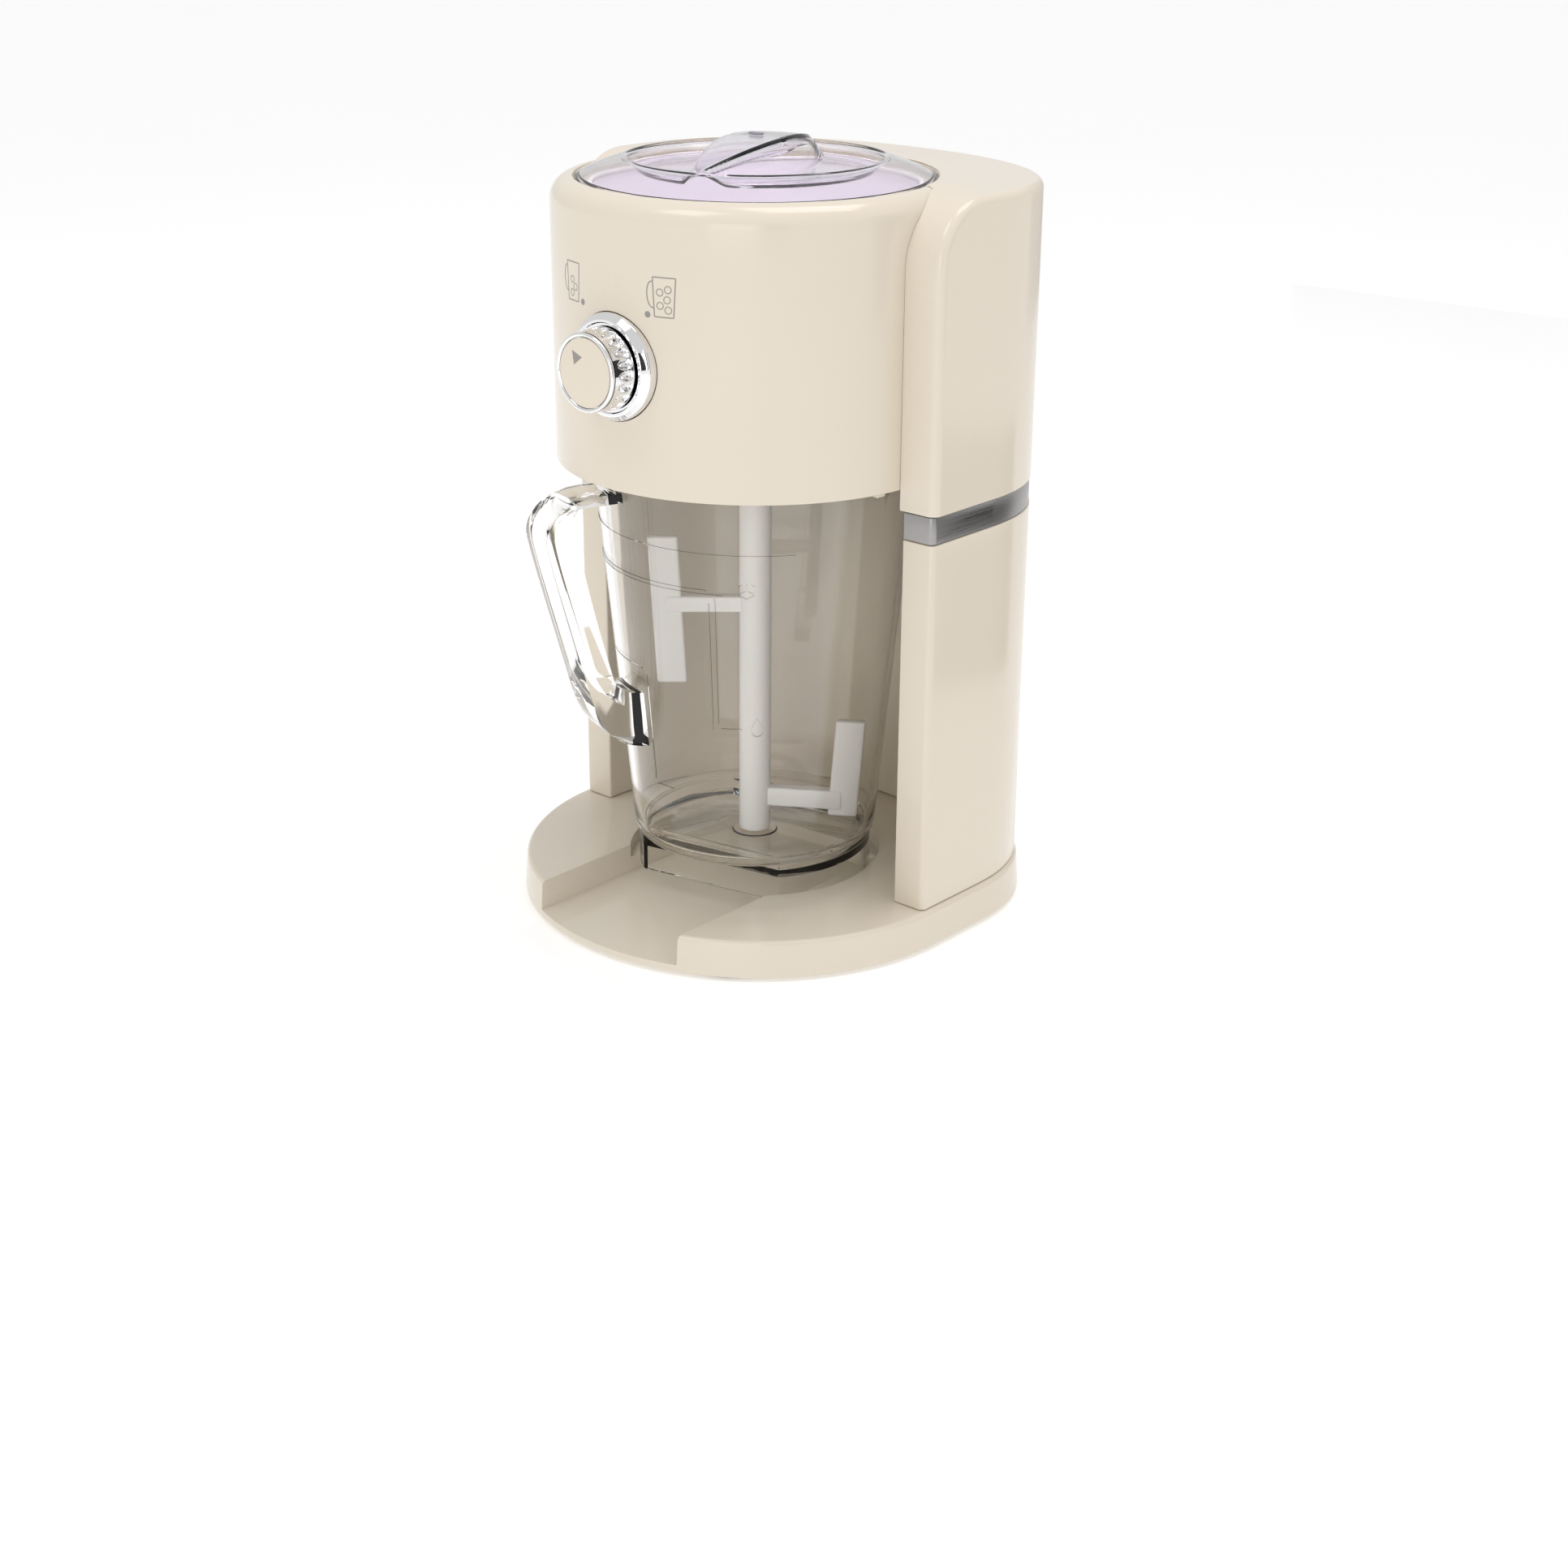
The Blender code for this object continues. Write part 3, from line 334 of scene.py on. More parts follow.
def combine(obj, helper, operation):
    """Boolean with a helper object, which is then thrown away."""
    modifier = obj.modifiers.new("combine", "BOOLEAN")
    modifier.operation = operation
    modifier.solver = "EXACT"
    modifier.object = helper
    bake(obj)
    bpy.data.objects.remove(helper)
    return obj


def cut(obj, bm):
    return combine(obj, make("helper", bm), "DIFFERENCE")


def join(obj, bm):
    return combine(obj, make("helper", bm), "UNION")


def round_edges(obj, width, angle=40.0):
    """Round every outer edge that turns by more than the given angle."""
    bm = bmesh.new()
    bm.from_mesh(obj.data)
    edges = [e for e in bm.edges
             if e.is_convex and e.calc_face_angle(0.0) > math.radians(angle)]
    bmesh.ops.bevel(bm, geom=edges, offset=width * MM, segments=3, profile=0.5,
                    affect="EDGES", clamp_overlap=True)
    bm.to_mesh(obj.data)
    bm.free()
    return obj


def mount(obj, body, slot, *nodes):
    """Smooth the finished piece, tie it to its body and hide the CAD nodes it stands in for; slot is not
    used.
    """
    obj.data.shade_smooth()
    obj.data.set_sharp_from_angle(angle=math.radians(38.0))
    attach(obj, body)
    if nodes:
        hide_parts(*nodes)
    return obj


# ---------------------------------------------------------------- materials

class Finish:
    """One material's node tree, with short calls for the nodes that the finishes share."""

    def __init__(self, name, roughness, metallic=0.0, **sockets):
        self.material = bpy.data.materials.new(name)
        self.material.use_nodes = True
        self.tree = self.material.node_tree
        self.shader = self.tree.nodes["Principled BSDF"]
        self.shader.inputs["Metallic"].default_value = metallic
        self.shader.inputs["Roughness"].default_value = roughness
        for socket, value in sockets.items():
            self.shader.inputs[socket.replace("_", " ")].default_value = value
        self.place = self.add("ShaderNodeTexCoord").outputs["Object"]

    def add(self, kind, inputs=None, **settings):
        node = self.tree.nodes.new(kind)
        for key, value in settings.items():
            setattr(node, key, value)
        for key, value in (inputs or {}).items():
            self.feed(node.inputs[key], value)
        return node

    def feed(self, socket, value):
        if isinstance(value, bpy.types.NodeSocket):
            self.tree.links.new(value, socket)
        else:
            socket.default_value = value

    def noise(self, scale, detail=3.0, stretch=None, rough=0.55):
        """Noise over the piece, scale in features per metre; stretch squeezes each axis."""
        where = self.place
        if stretch:
            where = self.add("ShaderNodeMapping", {"Vector": where, "Scale": stretch}).outputs[0]
        inputs = {"Vector": where, "Scale": scale, "Detail": detail, "Roughness": rough}
        return self.add("ShaderNodeTexNoise", inputs).outputs["Fac"]

    def spread(self, value, start, end, low_value=0.0, high_value=1.0):
        inputs = {0: value, 1: start, 2: end, 3: low_value, 4: high_value}
        return self.add("ShaderNodeMapRange", inputs).outputs[0]

    def multiply(self, a, b):
        return self.add("ShaderNodeMath", {0: a, 1: b}, operation="MULTIPLY").outputs[0]

    def plus(self, a, b):
        return self.add("ShaderNodeMath", {0: a, 1: b}, operation="ADD").outputs[0]

    def blend(self, share, a, b):
        """Colour a turning into colour b with share."""
        inputs = {0: share, 6: a, 7: b}
        return self.add("ShaderNodeMix", inputs, data_type="RGBA").outputs[2]

    def edges(self):
        """1 on raised edges, 0 on flat and hollow surface."""
        rise = self.add("ShaderNodeNewGeometry").outputs["Pointiness"]
        return self.spread(rise, 0.52, 0.62)

    def colour(self, socket):
        self.feed(self.shader.inputs["Base Color"], socket)

    def roughness(self, socket):
        self.feed(self.shader.inputs["Roughness"], socket)

    def bump(self, *layers):
        """Stack bumps given as (height socket, depth in metres)."""
        normal = None
        for height, depth in layers:
            inputs = {"Height": height, "Distance": depth, "Strength": 1.0}
            if normal:
                inputs["Normal"] = normal
            normal = self.add("ShaderNodeBump", inputs).outputs[0]
        self.feed(self.shader.inputs["Normal"], normal)


WHITE = (1.0, 1.0, 1.0, 1.0)


def rgb(red, green, blue):
    """Linear colour from the 0-255 values of a display."""
    channels = []
    for value in (red, green, blue):
        value /= 255.0
        channels.append(value / 12.92 if value <= 0.04045 else ((value + 0.055) / 1.055) ** 2.4)
    return (*channels, 1.0)


def shade(colour, factor):
    return (*(min(1.0, c * factor) for c in colour[:3]), 1.0)


def moulded(name, colour, gloss, grain=1800.0, grain_depth=4e-6, wear=0.06, **sockets):
    """Injection-moulded plastic: faint mottling, flow waviness, fine texture, lighter edges."""
    finish = Finish(name, gloss, **sockets)
    cloud = finish.noise(14.0, 4.0)
    fine = finish.noise(grain, 2.0)
    base = finish.blend(finish.spread(cloud, 0.3, 0.7), shade(colour, 0.994), shade(colour, 1.006))
    speck = finish.spread(finish.noise(420.0, 5.0), 0.62, 0.8, 0.0, 0.04)
    base = finish.blend(speck, base, shade(colour, 0.86))
    worn = finish.multiply(finish.edges(), wear)
    finish.colour(finish.blend(worn, base, shade(colour, 1.14)))
    smudge = finish.spread(finish.noise(26.0, 5.0), 0.35, 0.75, gloss - 0.02, gloss + 0.04)
    finish.roughness(finish.plus(smudge, finish.spread(fine, 0.2, 0.8, -0.015, 0.015)))
    finish.bump((finish.noise(30.0, 1.0), 3e-5), (fine, grain_depth))
    return finish.material


def clear(name, tint, gloss, bending=1.5):
    """Clear moulded plastic with flow ripples; lamps reach what is behind it."""
    finish = Finish(name, gloss, Transmission_Weight=1.0, IOR=bending, Specular_IOR_Level=0.5)
    haze = finish.noise(18.0, 4.0)
    finish.colour(finish.blend(finish.spread(haze, 0.3, 0.7), tint, shade(tint, 0.997)))
    marks = finish.noise(160.0, 5.0, (1.0, 1.0, 0.25))
    finish.roughness(finish.spread(marks, 0.35, 0.8, gloss, gloss + 0.05))
    finish.bump((finish.noise(34.0, 1.0, (1.0, 1.0, 0.4)), 1.2e-4))
    path = finish.add("ShaderNodeLightPath").outputs["Is Shadow Ray"]
    through = finish.add("ShaderNodeBsdfTransparent", {"Color": WHITE}).outputs[0]
    mix = finish.add("ShaderNodeMixShader", {0: path, 1: finish.shader.outputs[0], 2: through})
    output = finish.tree.nodes["Material Output"]
    finish.feed(output.inputs["Surface"], mix.outputs[0])
    return finish.material


def polished(name, colour, gloss):
    """Plated or polished metal with faint wiping marks and a little unevenness."""
    finish = Finish(name, gloss, 1.0)
    film = finish.noise(90.0, 4.0)
    finish.colour(finish.blend(finish.spread(film, 0.35, 0.7), colour, shade(colour, 0.95)))
    finish.roughness(finish.spread(finish.noise(240.0, 5.0), 0.3, 0.8, gloss, gloss + 0.05))
    finish.bump((finish.noise(60.0, 2.0), 1.5e-5))
    return finish.material


def brushed(name, colour, gloss, stretch):
    """Metal with fine lines; stretch is small along the lines and large across them."""
    finish = Finish(name, gloss, 1.0, Anisotropic=0.35)
    lines = finish.noise(60.0, 6.0, stretch, 0.7)
    cloud = finish.noise(30.0, 3.0)
    tone = finish.multiply(finish.spread(lines, 0.25, 0.75), finish.spread(cloud, 0.2, 0.8, 0.7))
    finish.colour(finish.blend(tone, shade(colour, 0.88), shade(colour, 1.12)))
    worn = finish.multiply(finish.edges(), 0.1)
    rough = finish.spread(lines, 0.25, 0.75, gloss - 0.07, gloss + 0.08)
    finish.roughness(finish.plus(rough, finish.multiply(worn, -1.0)))
    finish.bump((lines, 6e-6))
    return finish.material


def rubbery(name, colour, gloss):
    finish = Finish(name, gloss)
    grain = finish.noise(900.0, 4.0)
    dust = finish.spread(finish.noise(70.0, 5.0), 0.5, 0.8, 0.0, 0.25)
    finish.colour(finish.blend(dust, colour, shade(colour, 2.2)))
    finish.roughness(finish.spread(grain, 0.2, 0.8, gloss - 0.08, gloss + 0.08))
    finish.bump((grain, 3e-5))
    return finish.material


def circuit(name):
    """Green board with copper tracks under the lacquer."""
    finish = Finish(name, 0.35)
    inputs = {"Vector": finish.place, "Scale": 260.0}
    cells = finish.add("ShaderNodeTexVoronoi", inputs, distance="MANHATTAN")
    tracks = finish.spread(cells.outputs["Distance"], 0.28, 0.34)
    finish.colour(finish.blend(tracks, (0.02, 0.11, 0.045, 1.0), (0.06, 0.26, 0.09, 1.0)))
    finish.roughness(finish.spread(tracks, 0.0, 1.0, 0.45, 0.3))
    finish.bump((tracks, 3e-5))
    return finish.material


IVORY_COLOUR = rgb(226, 216, 199)
INNER_COLOUR = rgb(216, 209, 198)
PLASTIC = {
    "ivory": moulded("ivory_gloss", IVORY_COLOUR, 0.16),
    "inner_plastic": moulded("inner_satin", INNER_COLOUR, 0.46, 900.0, 1.2e-5),
    "white_plastic": moulded("white_translucent", rgb(238, 236, 233), 0.33, 900.0, 6e-6,
                             Subsurface_Weight=0.25, Subsurface_Scale=0.004),
    "gear_nylon": moulded("gear_nylon", rgb(240, 238, 226), 0.42, 700.0, 1e-5),
    "dark_plastic": moulded("dark_plastic", rgb(52, 52, 55), 0.45, 900.0, 1.5e-5),
    "grey_plastic": moulded("grey_gloss", rgb(150, 147, 156), 0.25),
}
SLOTS = {
    **PLASTIC,
    "steel": brushed("turned_steel", (0.56, 0.55, 0.53, 1.0), 0.34, (1.0, 1.0, 18.0)),
    "chrome": polished("chrome_plate", (0.88, 0.88, 0.89, 1.0), 0.035),
    "clear_plastic": clear("clear_jug_plastic", (1.0, 0.992, 0.976, 1.0), 0.01, 1.4),
    "rubber": rubbery("rubber", rgb(66, 62, 60), 0.62),
    "white_silicone": moulded("white_silicone", rgb(240, 236, 238), 0.5, 700.0, 8e-6, 0.0),
    "circuit_board": circuit("circuit_board"),
    "brass": brushed("turned_brass", (0.72, 0.52, 0.24, 1.0), 0.3, (1.0, 1.0, 18.0)),
}
BAND_STEEL = brushed("band_steel", (0.37, 0.36, 0.355, 1.0), 0.33, (0.5, 0.5, 40.0))
LID_CLEAR = clear("clear_lid_plastic", (0.975, 0.965, 1.0, 1.0), 0.03, 1.25)
# Painted light: the hopper gets a lighter, lilac-tinted copy of the inner plastic, standing in for the
# light that falls on it under the lid
HOPPER_PAINTED_LIGHT = moulded("hopper_painted_light", rgb(240, 233, 241), 0.3, 900.0, 6e-6)
INK = moulded("grey_ink", rgb(150, 146, 142), 0.5, 1500.0, 8e-6, 0.0)

for row in frame["record"]["subparts"]:
    surface = frame["nodes"][row["node"]].data
    surface.materials.clear()
    surface.materials.append(SLOTS[row["material_slot"]])


# ---------------------------------------------------------------- casings

def back_curve(half, back):
    """Right side to left side round the back, a superellipse beyond SIDE_STRAIGHT."""
    steps = 96
    points = []
    depth = back - SIDE_STRAIGHT
    for i in range(steps + 1):
        turn = math.pi * i / steps
        c, s = math.cos(turn), math.sin(turn)
        x = half * math.copysign(abs(c) ** (2 / BACK_POWER), c)
        points.append((x, SIDE_STRAIGHT + depth * s ** (2 / BACK_POWER)))
    return points


def base_outline(inset):
    """Whole outline of the base: elliptical front, straight sides and the round back."""
    half = BASE_HALF - inset
    front = BASE_FRONT - inset
    steps = 128
    points = []
    for i in range(steps + 1):
        turn = math.pi * (1 + i / steps)
        points.append((half * math.cos(turn), front * math.sin(turn)))
    return points + back_curve(half, BASE_BACK - inset)


def mirrored(points):
    return [(-x, y) for x, y in reversed(points)]


def column_outline(inset, half, back):
    """C-shaped outline round the jug bay; inset moves every face into the material."""
    half -= inset
    back -= inset
    front = COLUMN_FRONT + inset
    bay = BAY_RADIUS + inset
    outer = 2.5
    inner = 0.8
    reach = math.sqrt((bay + inner) ** 2 - (front + inner) ** 2)
    turn = math.degrees(math.atan2(front + inner, reach))
    corner = arc((reach, front + inner), inner, 180.0 + turn, 270.0, 5)
    corner += arc((half - outer, front + outer), outer, -90.0, 0.0, 8)
    bay_wall = arc((0.0, 0.0), bay, 180.0 - turn, turn, 120)[1:-1]
    return corner + back_curve(half, back) + mirrored(corner) + bay_wall


def sleeve(half, back, bottom, top, edge):
    """Hollow C-shaped casing with rounded rims."""
    rings = [(edge * (1 - s), bottom + edge * (1 - c)) for c, s in quarter(3)]
    rings += [(inset, bottom + top - z) for inset, z in reversed(rings)]
    rings += [(WALL, top), (WALL, bottom)]
    return loft([flat_ring(column_outline(inset, half, back), z) for inset, z in rings], True)


def make_base():
    fillet = 2.0
    draft = 0.9
    side = [(0.6, 0.0), (0.0, 0.6)]
    side += [(draft + fillet * (1 - c), BASE_TOP - fillet + fillet * s) for c, s in quarter(5)]
    base = make("base_moulding", loft([flat_ring(base_outline(i), z) for i, z in side]),
                SLOTS["ivory"])
    cut(base, prism(circle(RECESS_RADIUS), LEDGE, BASE_TOP + 5))
    cut(base, prism(rectangle((-CHANNEL_HALF, -BASE_FRONT - 10), (CHANNEL_HALF, 34.0)),
                    CHANNEL_FLOOR, BASE_TOP + 6))
    round_edges(base, 0.7, 50.0)
    cover_low, cover_high = low("base_cover"), high("base_cover")
    pocket = rectangle((cover_low.x - GAP, cover_low.y - GAP), (cover_high.x + GAP, cover_high.y + GAP))
    cut(base, prism(pocket, BELOW, 12.0))
    for name in ("foot_front_left", "foot_front_right", "foot_rear_left", "foot_rear_right"):
        radius = (high(name).x - low(name).x) / 2
        centre = middle(name).xy
        well = circle(radius + GAP, 48, centre)
        cut(base, prism(well, BELOW, high(name).z + GAP))
        pad = [(0.0, low(name).z), (radius - 1.6, low(name).z)]
        pad += arc((radius - 1.6, low(name).z + 1.4), 1.4, -90.0, 0.0, 5)
        pad += [(radius - 0.2, high(name).z), (0.0, high(name).z)]
        pad = make("pad_" + name, lathe(pad, 64, centre, False), SLOTS["rubber"])
        mount(pad, "housing", "rubber", name)
    for name in ("left", "right", "rear_left", "rear_right"):
        cut(base, prism(circle(3.6, 32, middle("base_screw_" + name).xy), BELOW - 1.0, 4.0))
    mount(base, "housing", "ivory", "base_shell")


def make_column():
    column = sleeve(COLUMN_HALF, COLUMN_BACK, low("lower_column").z, high("lower_column").z, 0.5)
    column = make("column_moulding", column, SLOTS["ivory"])
    height = middle("cord_inlet").z
    radius = high("cord_inlet").x
    cut(column, lay_forward(prism(circle(radius + GAP, 48), -115.0, -90.0), height))
    mount(column, "housing", "ivory", "lower_column")

    outer, inner = -high("cord_inlet").y, -low("cord_inlet").y
    bore, fillet = 3.0, 0.8
    ring = [(bore, outer), (radius - fillet, outer)]
    ring += arc((radius - fillet, outer + fillet), fillet, -90.0, 0.0, 4)
    ring += [(radius, inner), (bore, inner)]
    inlet = make("inlet_bush", lay_forward(lathe(ring, 64), height), SLOTS["rubber"])
    mount(inlet, "housing", "rubber", "cord_inlet")

    band = sleeve(high("trim_band").x, high("trim_band").y, low("trim_band").z,
                  high("trim_band").z, 0.3)
    mount(make("steel_band", band, BAND_STEEL), "housing", "steel", "trim_band")


def crown(x, y):
    """Height of the rear housing's top, which falls a little towards its edges."""
    away = max(0.0, math.hypot(x, y) - DRUM_RADIUS)
    return CROWN_TOP - CROWN_FALL * (1 - math.exp(-away / 12.0))


def housing_rail():
    """Right-hand edge of the housing, from the foot of the wing over the shoulder to the back.

    Each entry holds the centre of the edge's rounding, the outward direction of the side wall
    and the outward direction of the front or top face.
    """
    half = HOUSING_HALF - EDGE_RADIUS
    side = Vector((1.0, 0.0, 0.0))
    height = crown(half, COLUMN_FRONT + SHOULDER_RADIUS) - SHOULDER_RADIUS
    reach = SHOULDER_RADIUS - EDGE_RADIUS
    rail = [(Vector((half, COLUMN_FRONT + EDGE_RADIUS, low("upper_housing").z)), side,
             Vector((0.0, -1.0, 0.0)))]
    for y, z in arc((0.0, 0.0), 1.0, 180.0, 90.0, 32):
        centre = Vector((half, COLUMN_FRONT + SHOULDER_RADIUS + reach * y, height + reach * z))
        rail.append((centre, side, Vector((0.0, y, z))))
    outer = back_curve(HOUSING_HALF, HOUSING_BACK)
    inner = back_curve(half, HOUSING_BACK - EDGE_RADIUS)
    for i in range(len(outer) // 2 + 1):
        point = Vector((*inner[i], crown(*inner[i]) - EDGE_RADIUS))
        away = Vector((outer[i][0] - inner[i][0], outer[i][1] - inner[i][1], 0.0)).normalized()
        rail.append((point, away, Vector((0.0, 0.0, 1.0))))
    return rail


def housing_solid():
    """Outer shape of the housing with a rounded edge all the way round, still solid."""
    bottom = low("upper_housing").z
    columns = []
    for centre, side, face in housing_rail():
        wall = centre + side * EDGE_RADIUS
        column = [(wall.x, wall.y, bottom)]
        for c, s in quarter(8):
            column.append(tuple(centre + (side * c + face * s) * EDGE_RADIUS))
        x, y, z = column[-1]
        for i in range(1, 33):
            across = x * (1 - i / 32)
            rise = crown(across, y) - crown(x, y) if face.z > 0.999 else 0.0
            column.append((across, y, z + rise))
        columns.append(column)
    bm = bmesh.new()
    for mirror in (1, -1):
        rows = [[bm.verts.new((mirror * x, y, z)) for x, y, z in column] for column in columns]
        for a, b in zip(rows, rows[1:]):
            for i in range(len(a) - 1):
                bm.faces.new((a[i], a[i + 1], b[i + 1], b[i]))
    bmesh.ops.remove_doubles(bm, verts=bm.verts, dist=1e-3)
    bmesh.ops.holes_fill(bm, edges=[e for e in bm.edges if e.is_boundary], sides=0)
    return bm


def make_upper_housing():
    bottom = low("upper_housing").z
    housing = make("housing_moulding", housing_solid(), SLOTS["ivory"])
    bay = column_outline(WALL, COLUMN_HALF, COLUMN_BACK)
    cut(housing, prism(bay, bottom - 5.0, DRUM_LOW + 3.0))
    half = HOUSING_HALF - WALL
    front = COLUMN_FRONT + SHOULDER_RADIUS + 2.0
    inner = [(half, front)] + back_curve(half, HOUSING_BACK - WALL) + [(-half, front)]
    cut(housing, prism(inner, DRUM_LOW + 2.0, DRUM_TOP - DRUM_FILLET - 2.0))
    clear_radius = DRUM_RADIUS + GAP
    corner = DRUM_TOP - DRUM_FILLET
    drum = [(0.0, bottom - 8.0), (clear_radius, bottom - 8.0)]
    drum += arc((DRUM_RADIUS - DRUM_FILLET, corner), DRUM_FILLET + GAP / 2, 0.0, 90.0, 14)
    drum += [(DRUM_RADIUS - DRUM_FILLET, DRUM_TOP + 8.0), (0.0, DRUM_TOP + 8.0)]
    cut(housing, lathe(drum, STEPS, closed=False))
    mount(housing, "housing", "ivory", "upper_housing")


def make_drum():
    inner = DRUM_RADIUS - WALL
    corner = DRUM_TOP - DRUM_FILLET
    profile = arc((DRUM_RADIUS - 0.6, DRUM_LOW + 0.6), 0.6, -90.0, 0.0, 4)
    profile += arc((DRUM_RADIUS - DRUM_FILLET, corner), DRUM_FILLET, 0.0, 84.0, 14)
    profile += arc((SEAT_RADIUS + 0.5, DRUM_TOP - 0.5), 0.5, 84.0, 180.0, 4)
    profile += [(SEAT_RADIUS, LID_SEAT), (SEAT_HOLE, LID_SEAT), (SEAT_HOLE, LID_SEAT - WALL)]
    profile += [(inner - 5.0, LID_SEAT - WALL), (inner, corner - 1.0), (inner, DRUM_LOW)]
    drum = make("head_drum", lathe(profile, 2 * STEPS), SLOTS["ivory"])
    back_opening = rectangle((-60.0, 20.0), (60.0, 95.0))
    cut(drum, prism(back_opening, DRUM_LOW - 5.0, 277.0))
    cut(drum, lay_forward(prism(circle(KNOB_RADIUS + GAP, 128), 60.0, 90.0), KNOB_Z))
    cut(drum, prism(circle(1.8, 24, middle("interlock_plunger").xy), 280.0, 286.5))
    mount(drum, "housing", "ivory", "drum_shell")

    plate = make("head_floor", prism(circle(inner - GAP), low("drum_floor").z, high("drum_floor").z),
                 SLOTS["ivory"])
    shaft_hole = circle(9.0, 48)
    chute_hole = rectangle((-18.3, -50.3), (18.3, -34.7))
    cut(plate, prism(shaft_hole, 178.0, 190.0))
    cut(plate, prism(chute_hole, 179.0, 191.0))
    mount(plate, "housing", "ivory", "drum_floor")

    catch = spin_to(block((-2.2, -74.0, DRUM_LOW - 2.2), (2.2, -70.4, DRUM_LOW), 0.6), 81.0)
    mount(make("catch_tab", catch, SLOTS["ivory"]), "housing", "ivory", "jug_catch")


# ---------------------------------------------------------------- under the lid

def make_hopper():
    bore = 9.4
    radius = 49.0
    rim = high("hopper").x
    skin = 2.2
    flare_low, flare_top = 262.0, 281.0
    lift = 0.8                  # inner flare over the outer one, which keeps the skin even
    fillet = 4.0
    profile = [(bore, HOPPER_LOW), (radius, HOPPER_LOW), (radius, flare_low), (rim, flare_top)]
    profile += [(rim, HOPPER_TOP), (rim - skin, HOPPER_TOP), (rim - skin, flare_top + lift)]
    profile += [(radius - skin, flare_low + lift)]
    profile += arc((radius - skin - fillet, HOPPER_LOW + skin + fillet), fillet, 0.0, -90.0, 6)
    profile += [(bore, HOPPER_LOW + skin)]
    # The hopper wears the painted-light copy of the inner plastic, lighter and lilac, while its slot
    # stays inner_plastic
    hopper = make("ice_hopper", lathe(profile), HOPPER_PAINTED_LIGHT)
    cut(hopper, prism(rectangle((-16.0, -46.0), (16.0, -37.0)), 200.0, 215.0))
    mount(hopper, "housing", "inner_plastic", "hopper")

    seal_rim = high("lid_seal").x
    seal = lathe(arc((seal_rim - 1.3, middle("lid_seal").z), 0.85, 0.0, 360.0, 12)[:-1])
    seal = make("lid_seal_ring", seal, SLOTS["white_silicone"])
    mount(seal, "housing", "white_silicone", "lid_seal")

    shaft = high("drive_shaft").x
    hub = [(shaft + GAP, low("ice_rotor").z), (10.5, low("ice_rotor").z), (12.0, 213.5)]
    hub += [(12.0, 232.0)]
    hub += arc((8.0, 232.0), 4.0, 0.0, 80.0, 8)
    hub += [(0.0, high("ice_rotor").z), (0.0, 230.0), (shaft + GAP, 230.0)]
    rotor = make("ice_rotor_moulding", lathe(hub, 96), SLOTS["white_plastic"])
    for k in range(3):
        vane = block((-1.6, -44.0, 213.0), (1.6, -9.0, 232.0), 0.9)
        join(rotor, spin_to(vane, 60.0 + 120.0 * k))
    mount(rotor, "drive", "white_plastic", "ice_rotor")


# ---------------------------------------------------------------- jug and paddle

def jug_radius(z, azimuth):
    """Outer radius of the jug, with the pouring spout drawn out of the top."""
    radius = JUG_LOW_RADIUS + JUG_SLOPE * (z - JUG_STEP)
    rise = max(0.0, (z - SPOUT_LOW) / (JUG_TOP - SPOUT_LOW))
    away = abs((azimuth - SPOUT_AZ + 180.0) % 360.0 - 180.0)
    spread = 15.0 * rise + 1e-6
    lip = 0.5 + 0.5 * math.cos(math.pi * min(1.0, away / spread))
    return radius + SPOUT_REACH * rise ** 1.3 * lip


def wall_line(points, width=0.7, proud=0.35, closed=False):
    """Raised moulded line on the jug's outer wall through (azimuth, height) points."""
    rings = []
    around = math.radians(JUG_LOW_RADIUS + 8.0)
    for azimuth, z, across in stroke(points, width, closed, around):
        ring = []
        for side, offset in ((-1, -0.5), (-0.8, proud), (0.8, proud), (1, -0.5)):
            a = azimuth + across.x * side / around
            height = z + across.y * side
            ring.append((*polar(jug_radius(height, a) + offset, a), height))
        rings.append(ring)
    return loft(rings, closed)


def foot_outline(inset):
    """Round skirt with two flats, turned to the locked position."""
    radius = FOOT_RADIUS - inset
    flat = FOOT_FLAT - inset
    opening = math.degrees(math.acos(flat / radius))
    points = []
    for side in (0.0, 180.0):
        for i in range(49):
            azimuth = FOOT_AZ + side + opening + (180.0 - 2 * opening) * i / 48
            points.append(polar(radius, azimuth))
    return points


def upright_line(azimuth, top, halfway, bottom):
    return [(azimuth, top), (azimuth, halfway), (azimuth, bottom)]


def level_line(start, end, z):
    steps = max(2, int(abs(end - start) / 2.5))
    return [(start + (end - start) * i / steps, z) for i in range(steps + 1)]


def jug_marks():
    """Fill lines, scale lines and two small symbols moulded on the wall, without lettering."""
    marks = [wall_line(level_line(-52.0, 56.0, 157.4), 1.3, 0.3)]
    marks += [wall_line(level_line(-52.0, 24.0, 143.2)), wall_line(level_line(-52.0, 30.0, 141.6))]
    marks += [wall_line(level_line(-37.0, -9.0, 105.0)), wall_line(level_line(-5.0, 4.0, 56.6))]
    marks += [wall_line(upright_line(24.9, 138.0, 112.0, 86.0), 0.6)]
    marks += [wall_line(upright_line(27.2, 140.0, 112.0, 88.5), 0.6)]
    marks += [wall_line([(28.6, 86.4), (33.0, 86.4), (37.0, 86.4)], 0.6)]
    marks += [wall_line(upright_line(-6.2, 103.0, 80.0, 58.5), 0.6)]
    cube = arc((0.0, 0.0), 3.4, 90.0, 450.0, 6)
    marks.append(wall_line([(39.0 + x, 144.0 + z) for x, z in cube[:-1]], 0.5, closed=True))
    for k in (0, 2, 4):
        x, z = cube[k]
        marks.append(wall_line([(39.0 + x * 0.12, 144.0 + z * 0.12), (39.0 + x * 0.76, 144.0 + z * 0.76)],
                               0.5))
    drop = arc((0.0, -1.0), 2.4, 150.0, 390.0, 12) + [(0.0, 4.2)]
    marks.append(wall_line([(43.0 + x, 87.0 + z) for x, z in drop], 0.5, closed=True))
    return marks


